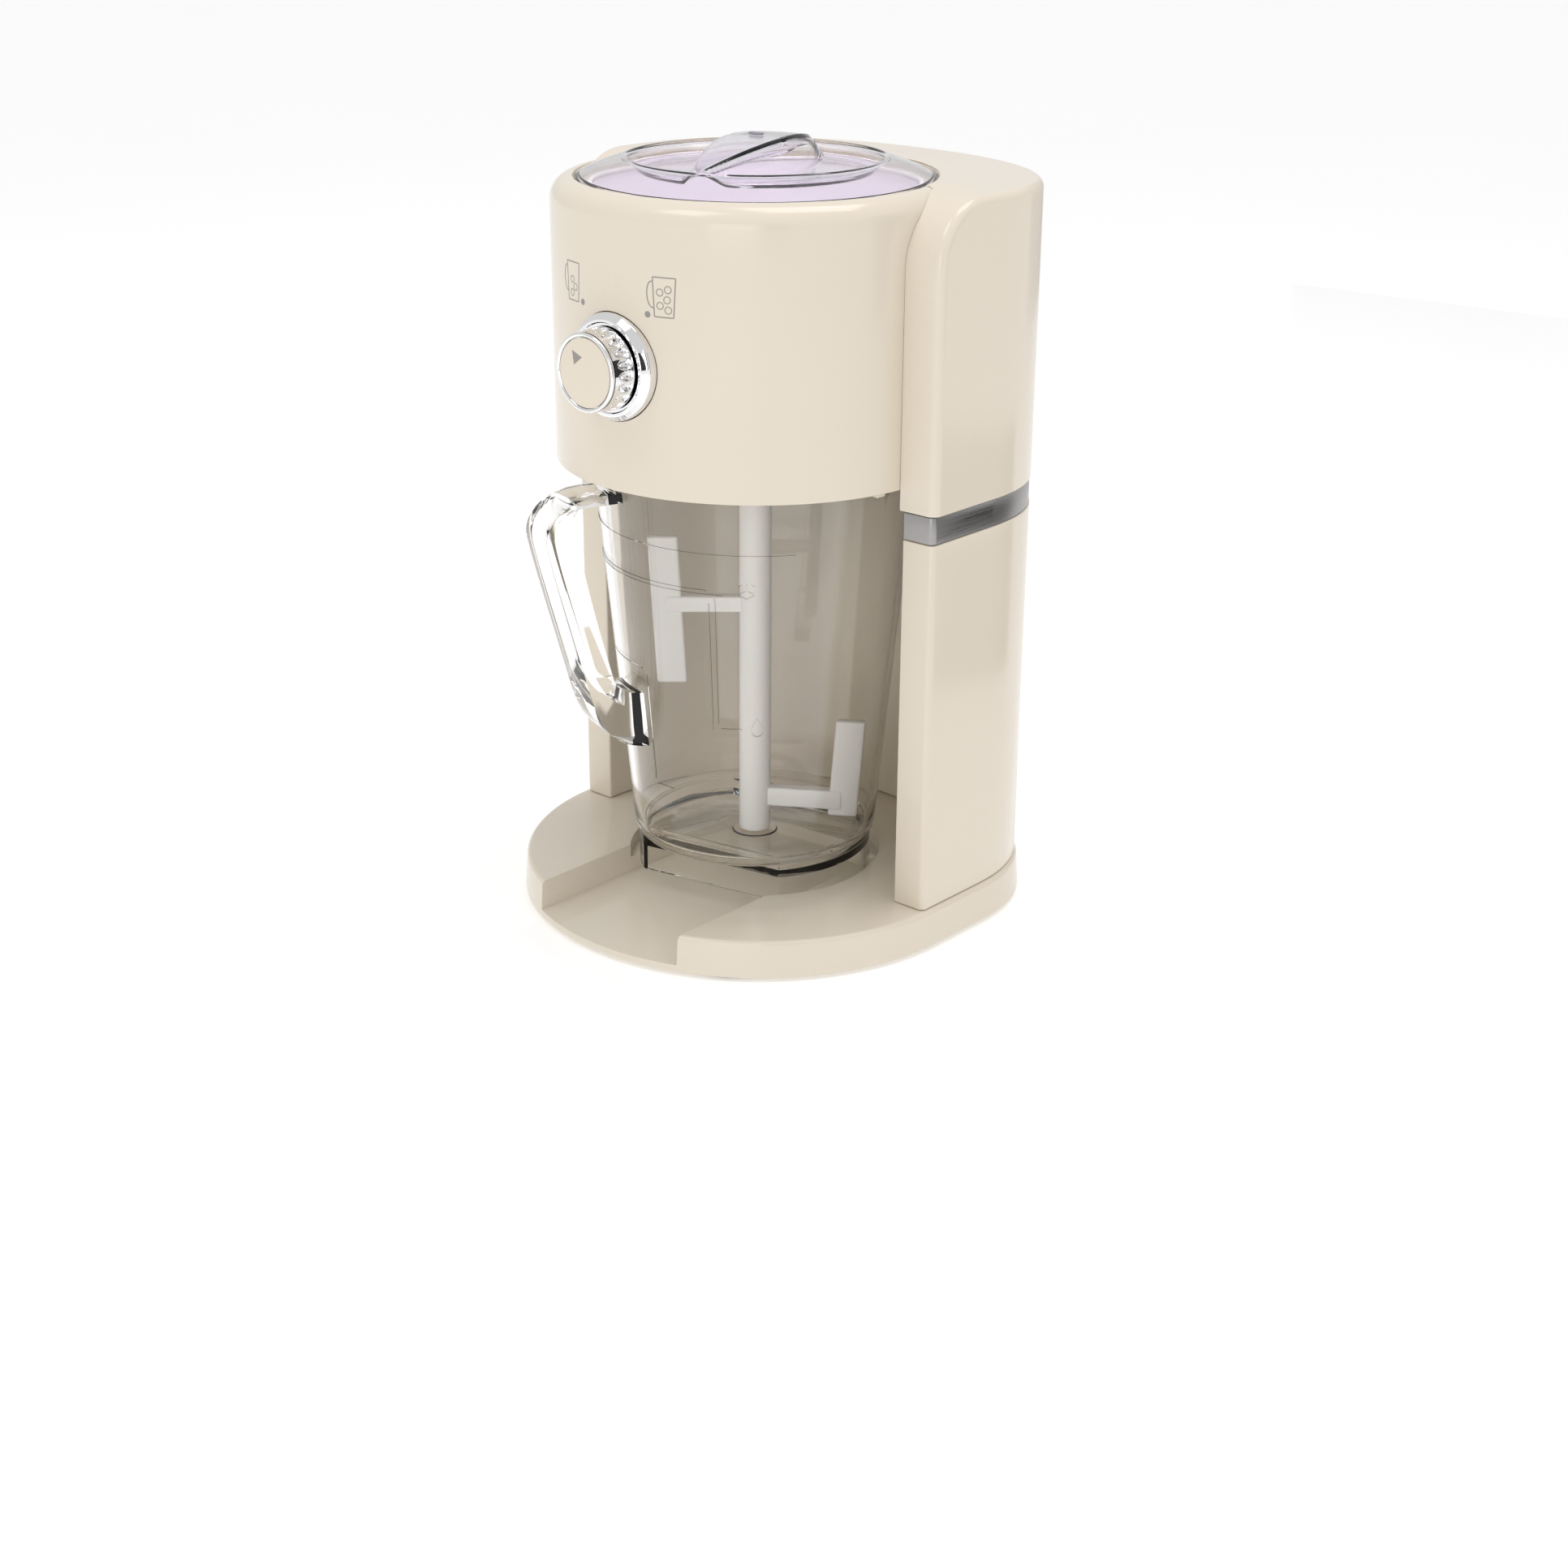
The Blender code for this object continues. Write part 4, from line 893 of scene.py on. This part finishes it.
def make_jug():
    rim = 3.4
    corner = 1.6
    outside = [(JUG_STEP + rim * (1 - c), -rim * (1 - s)) for c, s in quarter(7)]
    levels = [40.0, 60.0, 80.0, 100.0, 120.0, 140.0] + [SPOUT_LOW + 31.0 * i / 12 for i in range(12)]
    outside += [(z, 0.0) for z in levels]
    outside += [(JUG_TOP - 0.5, 0.0), (JUG_TOP, -0.5)]
    inside = [(JUG_TOP, -JUG_WALL + 0.5), (JUG_TOP - 0.5, -JUG_WALL)]
    inside += [(z, -JUG_WALL) for z in reversed(levels)]
    ledge = JUG_STEP + rim
    inside += [(ledge + corner * (1 - s), -JUG_WALL - corner * (1 - c)) for c, s in quarter(4)]
    azimuths = [SPOUT_AZ + 360.0 * i / STEPS for i in range(STEPS)]
    rings = []
    for z, offset in outside + inside:
        rings.append([(*polar(jug_radius(z, a) + offset, a), z) for a in azimuths])
    jug = make("jug_moulding", loft(rings), SLOTS["clear_plastic"])

    # The skirt below the step is open underneath and holds the sunken floor of the jug.
    skirt = ((FOOT_WALL, JUG_FLOOR), (FOOT_WALL, FOOT_LOW + 0.4), (1.8, FOOT_LOW),
             (0.8, FOOT_LOW), (0.0, FOOT_LOW + 0.8), (0.0, JUG_STEP + 1.0))
    join(jug, loft([flat_ring(foot_outline(inset), z) for inset, z in skirt]))
    floor = JUG_FLOOR + JUG_WALL
    well = ((JUG_WALL + 1.6, floor), (JUG_WALL + 0.5, floor + 0.5), (JUG_WALL, floor + 1.6),
            (JUG_WALL, ledge + 1.2))
    cut(jug, loft([flat_ring(foot_outline(inset), z) for inset, z in well]))
    pad = [(0.0, floor - 1.0), (9.4, floor - 1.0), (9.4, floor + 0.1), (8.8, floor + 0.6)]
    join(jug, lathe(pad + [(0.0, floor + 0.6)], 96, closed=False))
    for azimuth in NUB_AZIMUTHS:
        nub = [(0.0, floor - 1.0), (1.9, floor - 1.0), (1.9, floor + 1.4), (1.3, floor + 2.0)]
        nub += [(0.0, floor + 2.1)]
        join(jug, lathe(nub, 24, polar(NUB_RADIUS, azimuth), closed=False))
    combine(jug, make_handle(), "UNION")
    for mark in jug_marks():
        join(jug, mark)
    mount(jug, "jug", "clear_plastic", "jug", "jug_foot", "jug_handle")


def sideways(outline, half):
    """Solid of even width from a closed (r, z) outline, turned to the handle's azimuth."""
    left = [(-half, -r, z) for r, z in outline]
    right = [(half, -r, z) for r, z in outline]
    return spin_to(loft([left, right]), HANDLE_AZ)


def make_handle():
    """C-shaped strap with a web along the outer edge and a flange on each side."""
    sink = 1.8
    low_r = jug_radius(71.5, 0.0) - sink
    low_in = jug_radius(94.0, 0.0) - sink
    outer = [(jug_radius(175.3, 0.0) - sink, 175.3), (73.0, 175.3)]
    carry_on(outer, (84.0, 174.8), (93.6, 168.0), (93.4, 159.6))
    carry_on(outer, (93.2, 155.0), (86.0, 129.5), (78.0, 100.0))
    carry_on(outer, (74.0, 85.0), (70.0, 73.0), (low_r, 71.5))
    inner = [(low_in, 94.0)]
    carry_on(inner, (62.0, 95.0), (65.5, 97.0), (67.0, 101.5))
    carry_on(inner, (74.0, 126.0), (77.5, 142.0), (80.3, 155.0))
    carry_on(inner, (81.2, 159.5), (83.6, 171.2), (79.0, 171.5))
    inner += [(jug_radius(171.5, 0.0) - sink, 171.5)]
    handle = make("handle", sideways(outer + inner, HANDLE_HALF))

    web = [(72.0, 171.2)]
    carry_on(web, (82.0, 171.0), (89.8, 168.5), (89.4, 160.0))
    carry_on(web, (88.5, 152.0), (81.0, 126.0), (75.5, 107.0))
    carry_on(web, (72.0, 97.0), (68.0, 92.0), (62.0, 89.5))
    web += [(62.0, 103.0)]
    cut(handle, sideways(web, HANDLE_HALF - WALL))
    return round_edges(handle, 0.8)


def make_paddle():
    shaft = [(0.0, PADDLE_LOW)]
    shaft += arc((5.4, PADDLE_LOW + 1.0), 1.0, -90.0, 0.0, 4)
    shaft += arc((5.4, PADDLE_TOP - 1.0), 1.0, 0.0, 90.0, 4)
    shaft += [(0.0, PADDLE_TOP)]
    paddle = make("paddle_moulding", lathe(shaft, 96, closed=False), SLOTS["white_plastic"])
    arms = (
        (-48.0, (117.0, 123.5), (27.4, 30.8), (87.0, 148.0)),
        (123.0, (34.0, 42.0), (30.3, 33.4), (31.0, 72.5)),
    )
    for azimuth, arm, lean, height in arms:
        bar = block((-2.9, -36.0, arm[0]), (2.9, -3.0, arm[1]), 0.9)
        plate = block((-2.2, -12.0, height[0]), (2.2, 0.0, height[1]), 1.1)
        for vert in plate.verts:
            share = (vert.co.z - height[0]) / (height[1] - height[0])
            vert.co.y -= lean[0] + (lean[1] - lean[0]) * share
        join(paddle, spin_to(bar, azimuth))
        join(paddle, spin_to(plate, azimuth))
    cut(paddle, prism(circle(4.5, 6), PADDLE_TOP - 6.5, PADDLE_TOP + 5.0))
    mount(paddle, "paddle", "white_plastic", "paddle")


# ---------------------------------------------------------------- lid

def dome(radius):
    """Height of the lid's outer surface before the finger recesses are sunk into it."""
    share = min(1.0, radius / LID_RADIUS)
    peak = LID_TOP - 0.2
    return DOME_RIM + (peak - DOME_RIM) * (1 - share ** 2.1)


def lid_height(x, y):
    """Outer height of the lid at a plan point, with x measured across the finger bar."""
    radius = math.hypot(x, y)
    bow = (BAR_HALF_LENGTH ** 2 + BAR_HALF_WIDTH ** 2) / (2 * BAR_HALF_WIDTH)
    bar_edge = math.sqrt(max(0.0, bow ** 2 - y ** 2)) - (bow - BAR_HALF_WIDTH)
    inside = min(SCOOP_RADIUS - radius, abs(x) - max(0.0, bar_edge))
    if inside <= 0.0:
        return dome(radius)
    floor = SCOOP_FLOOR + 1.2 * (radius / SCOOP_RADIUS) ** 2
    return dome(radius) + (floor - dome(radius)) * smoothstep(inside / SCOOP_BLEND) ** 0.8


def make_lid():
    around = 256
    radii = [LID_RADIUS * (i / 96) for i in range(1, 97)]
    rim = [(LID_RADIUS, LID_LOW + 0.4), (LID_RADIUS - 0.4, LID_LOW)]
    rim += [(LID_RADIUS - LID_WALL, LID_LOW), (LID_RADIUS - LID_WALL - 0.2, DOME_RIM - 0.6)]
    bm = bmesh.new()

    def surface(drop, limit):
        pole = bm.verts.new((0.0, 0.0, lid_height(0.0, 0.0) - drop))
        rows = []
        for radius in radii:
            if radius > limit:
                break
            row = []
            for i in range(around):
                turn = 2 * math.pi * i / around
                x, y = radius * math.cos(turn), radius * math.sin(turn)
                row.append(bm.verts.new((x, y, lid_height(x, y) - drop)))
            rows.append(row)
        for i in range(around):
            bm.faces.new((pole, rows[0][i], rows[0][(i + 1) % around]))
        return rows

    outer = surface(0.0, LID_RADIUS + 1.0)
    inner = surface(LID_WALL, LID_RADIUS - LID_WALL - 0.5)
    skirt = []
    for radius, z in rim:
        skirt.append([bm.verts.new((x, y, z)) for x, y in circle(radius, around)])
    rows = outer + skirt + list(reversed(inner))
    for a, b in zip(rows, rows[1:]):
        for i in range(around):
            j = (i + 1) % around
            bm.faces.new((a[i], a[j], b[j], b[i]))
    lid = make("lid_moulding", spin_to(bm, BAR_AZ), LID_CLEAR)
    mount(lid, "lid", "clear_plastic", "lid")

    centre = middle("lid_inset")
    long = (high("lid_inset").x - low("lid_inset").x) / 2
    wide = (high("lid_inset").y - low("lid_inset").y) / 2
    rings = []
    top = high("lid_inset").z
    for inset, z in ((0.0, top - 0.8), (0.0, top - 0.25), (0.1, top - 0.08), (0.4, top)):
        oval = [((long - inset) * x + centre.x, (wide - inset) * y + centre.y)
                for x, y in circle(1.0, 48)]
        rings.append(flat_ring(oval, z))
    inset = make("lid_inset_oval", loft(rings), SLOTS["grey_plastic"])
    mount(inset, "lid", "grey_plastic", "lid_inset")


# ---------------------------------------------------------------- knob and prints

def make_knob():
    back = 73.0
    front = -low("knob_bezel").y
    bezel = [(4.0, back), (KNOB_RADIUS, back), (KNOB_RADIUS, front - 3.2)]
    bezel += arc((KNOB_RADIUS - 1.6, front - 3.2), 1.6, 0.0, 60.0, 6)
    bezel += arc((KNOB_RADIUS - 2.4, front - 0.8), 0.8, 40.0, 90.0, 4)
    bezel += [(16.6, front), (16.2, front - 0.6), (4.0, front - 0.6)]
    bezel = make("knob_flange", lay_forward(lathe(bezel), KNOB_Z), SLOTS["chrome"])
    mount(bezel, "housing", "chrome", "knob_bezel")

    grip = lay_forward(fluted_grip(), KNOB_Z)
    mount(make("knob_fluted_grip", grip, SLOTS["chrome"]), "knob", "chrome", "knob_grip")

    rim_low, rim_top = -high("knob_rim").y, -low("knob_rim").y
    rim_radius = high("knob_rim").x
    rim = [(13.0, rim_low), (rim_radius - 0.2, rim_low)]
    rim += arc((rim_radius - 0.75, rim_top - 0.75), 0.75, 0.0, 120.0, 8)
    rim += [(13.0, rim_top - 0.5)]
    rim = make("knob_front_rim", lay_forward(lathe(rim), KNOB_Z), SLOTS["chrome"])
    mount(rim, "knob", "chrome", "knob_rim")

    radius = high("knob_cap").x
    face = [(0.0, rim_low), (radius, rim_low), (radius, KNOB_FACE - 0.5)]
    face += arc((radius - 0.4, KNOB_FACE - 0.4), 0.4, 0.0, 90.0, 4)
    face += [(0.0, KNOB_FACE)]
    cap = make("knob_face", lay_forward(lathe(face, closed=False), KNOB_Z), SLOTS["ivory"])
    mount(cap, "knob", "ivory", "knob_cap")

    turn = Matrix.Rotation(math.radians(KNOB_SETTING), 2)
    corners = [turn @ Vector(corner) for corner in ((0.0, 9.6), (-2.6, 5.0), (2.6, 5.0))]
    pointer = prism([(-c.x, c.y) for c in corners], KNOB_FACE - 0.1, KNOB_FACE + 0.04)
    pointer = make("knob_pointer", lay_forward(pointer, KNOB_Z), INK)
    mount(pointer, "knob", "grey_plastic")


def fluted_grip():
    """Drum of the knob with lens-shaped finger flutes, deepest near the flange."""
    bottom = -high("knob_grip").y
    top = -low("knob_grip").y
    length = top - bottom
    around = SCALLOPS * 20
    along = 36
    rings = []
    for k in range(along + 1):
        t = k / along
        body = 15.2 - 0.75 * t
        taper = 0.22 if t < FLUTE_DEEPEST else 0.5
        width = 0.92 * math.sqrt(max(0.0, 1 - ((t - FLUTE_DEEPEST) / taper) ** 2))
        ring = []
        for i in range(around):
            turn = 2 * math.pi * i / around
            beside = abs((turn * SCALLOPS / (2 * math.pi) + 0.5) % 1.0 - 0.5) * 2
            depth = FLUTE_DEPTH * max(0.0, 1 - (beside / width) ** 2) if width > 0.02 else 0.0
            radius = body - depth * width
            ring.append((radius * math.cos(turn), radius * math.sin(turn), bottom + length * t))
        rings.append(ring)
    bore = [(3.3, bottom + 7.0), (3.3, bottom)]
    rings = [flat_ring(circle(r, around), z) for r, z in bore] + rings
    return loft(rings)


def ribbon(points, width, closed=False):
    """Printed line on the drum's front; points are (x, z) seen from the front."""
    rings = []
    for x, z, across in stroke(points, width, closed):
        ring = []
        for side, out in ((-1, -1), (-1, 1), (1, 1), (1, -1)):
            px, pz = x + across.x * side, z + across.y * side
            reach = DRUM_RADIUS + PRINT_DEPTH * out
            ring.append((px, -math.sqrt(reach ** 2 - px ** 2), pz))
        rings.append(ring)
    return loft(rings, closed)


def disc(x, z, radius):
    """Printed dot on the drum's front."""
    rings = []
    for out in (-1, 1):
        reach = DRUM_RADIUS + PRINT_DEPTH * out
        rings.append([(px, -math.sqrt(reach ** 2 - px ** 2), pz)
                      for px, pz in circle(radius, 32, (x, z))])
    return loft(rings)


def dense(points):
    """The same line with extra points along its straight runs."""
    step = 0.6
    run = [points[0]]
    for a, b in zip(points, points[1:]):
        a, b = Vector(a), Vector(b)
        count = max(1, round((b - a).length / step))
        run += [tuple(a.lerp(b, i / count)) for i in range(1, count + 1)]
    return run


def make_prints():
    """Setting marks above the knob: a dot and a plain jug symbol on each side."""
    parts = []
    for side, balls in ((-1, ((-0.8, -4.2), (1.5, -1.9), (-0.6, 0.6))),
                        (1, ((-1.6, 1.7), (1.5, 2.8), (1.2, -0.8), (-1.5, -3.0), (1.6, -4.4)))):
        x, z = side * SYMBOL_REACH, KNOB_Z + SYMBOL_RISE
        body = [(-4.4, 7.0), (4.4, 7.0), (3.6, -7.0), (-3.7, -7.0), (-4.4, 7.0)]
        parts.append(ribbon(dense([(x + dx, z + dz) for dx, dz in body]), PRINT_LINE))
        handle = [(-4.5, 5.4)] + bezier(((-4.5, 5.4), (-7.4, 6.0), (-7.6, -3.6), (-4.1, -4.0)), 14)
        parts.append(ribbon([(x + dx, z + dz) for dx, dz in handle], PRINT_LINE))
        for dx, dz in balls:
            parts.append(ribbon(circle(1.25, 24, (x + dx, z + dz)), 0.32, closed=True))
        parts.append(disc(side * DOT_REACH, KNOB_Z + DOT_RISE, 1.15))
    prints = make("setting_marks", gather(parts), INK)
    mount(prints, "housing", "grey_plastic")


# ---------------------------------------------------------------- stage

CAMERA_AZIMUTH = 42.08          # degrees from -Y towards +X, about the head's axis
CAMERA_DISTANCE = 0.94866
CAMERA_HEIGHT = 0.42877         # above the bottom edge of the base
CAMERA_YAW = 41.59
CAMERA_PITCH = 22.19
CAMERA_ROLL = 0.294
CAMERA_LENS = 57.2
SHIFT_X = 0.006
ROOM_LIGHT = 0.73
FLOOR_GLOW = 0.29
FLOOR_RADIUS = 9000.0
AIM_HEIGHT = 0.15               # middle of the object, above the bottom edge of the base


def make_camera():
    x, y = polar(CAMERA_DISTANCE, CAMERA_AZIMUTH)
    data = bpy.data.cameras.new("camera")
    data.lens = CAMERA_LENS
    data.sensor_width = 36.0
    data.shift_x = SHIFT_X
    camera = bpy.data.objects.new("camera", data)
    bpy.context.scene.collection.objects.link(camera)
    camera.location = ORIGIN + Vector((x, y, CAMERA_HEIGHT))
    turn = Matrix.Rotation(math.radians(CAMERA_YAW), 4, "Z")
    tilt = Matrix.Rotation(math.radians(90.0 - CAMERA_PITCH), 4, "X")
    roll = Matrix.Rotation(math.radians(CAMERA_ROLL), 4, "Z")
    camera.rotation_euler = (turn @ tilt @ roll).to_euler()
    bpy.context.scene.camera = camera


def aimed(azimuth, elevation, distance):
    """A place round the object, in metres, and the turn that points -Z from there at its middle."""
    target = ORIGIN + Vector((0.0, 0.0, AIM_HEIGHT))
    x, y = polar(math.cos(math.radians(elevation)) * distance, azimuth)
    place = target + Vector((x, y, math.sin(math.radians(elevation)) * distance))
    return place, (target - place).to_track_quat("-Z", "Y")


def softbox(name, azimuth, elevation, distance, size, power, colour=(1.0, 1.0, 1.0)):
    """Square area light aimed at the middle of the object."""
    data = bpy.data.lights.new(name, "AREA")
    data.size = size
    data.energy = power
    data.color = colour
    light = bpy.data.objects.new(name, data)
    bpy.context.scene.collection.objects.link(light)
    light.location, turn = aimed(azimuth, elevation, distance)
    light.rotation_euler = turn.to_euler()


def card(name, azimuth, elevation, distance, width, height, tone=0.02):
    """Panel that only shows in glossy reflections, as the flags in a photo studio do."""
    finish = Finish(name, 0.9)
    cloud = finish.noise(4.0, 2.0)
    dark, pale = (tone * 0.7,) * 3, (tone * 1.3,) * 3
    finish.colour(finish.blend(cloud, (*dark, 1.0), (*pale, 1.0)))
    bm = prism(rectangle((-width / 2, -height / 2), (width / 2, height / 2)), 0.0, 4.0)
    panel = make(name, bm, finish.material)
    place, turn = aimed(azimuth, elevation, distance)
    panel.data.transform(Matrix.Translation(-ORIGIN))
    panel.matrix_world = Matrix.Translation(place) @ turn.to_matrix().to_4x4()
    panel.visible_camera = False
    panel.visible_diffuse = False
    panel.visible_shadow = False
    panel.visible_transmission = False


def make_stage():
    finish = Finish("stage_floor", 0.35, Specular_IOR_Level=0.4)
    finish.shader.inputs["Emission Color"].default_value = WHITE
    finish.shader.inputs["Emission Strength"].default_value = FLOOR_GLOW
    tone = finish.spread(finish.noise(3.0, 2.0), 0.2, 0.8)
    finish.colour(finish.blend(tone, (0.88, 0.88, 0.88, 1.0), (0.9, 0.9, 0.9, 1.0)))
    bm = bmesh.new()
    height = (FLOOR_Z - ORIGIN.z) / MM
    bm.faces.new([bm.verts.new((x, y, height)) for x, y in circle(FLOOR_RADIUS, 96)])
    floor = make("stage_floor", bm, finish.material)

    world = bpy.data.worlds.new("studio")
    bpy.context.scene.world = world
    world.use_nodes = True
    background = world.node_tree.nodes["Background"]
    background.inputs["Color"].default_value = WHITE
    background.inputs["Strength"].default_value = ROOM_LIGHT
    softbox("key", -15.0, 62.0, 1.3, 0.45, 1.9)
    softbox("top_rear", 150.0, 76.0, 1.3, 0.7, 5.0, (1.0, 0.95, 0.975))
    softbox("bay_front", 30.0, 12.0, 1.3, 0.6, 1.7)
    card("stage_card", 118.0, 8.0, 1.1, 420.0, 900.0)
    card("low_card", 138.0, -13.0, 0.42, 210.0, 130.0)
    card("front_card", 52.0, 14.0, 1.2, 300.0, 620.0)
    card("grey_card", 185.0, 8.0, 1.3, 800.0, 900.0, 0.5)
    bpy.context.scene.view_settings.view_transform = "Standard"


make_camera()
make_stage()
make_base()
make_column()
make_upper_housing()
make_drum()
make_hopper()
make_jug()
make_paddle()
make_lid()
make_knob()
make_prints()
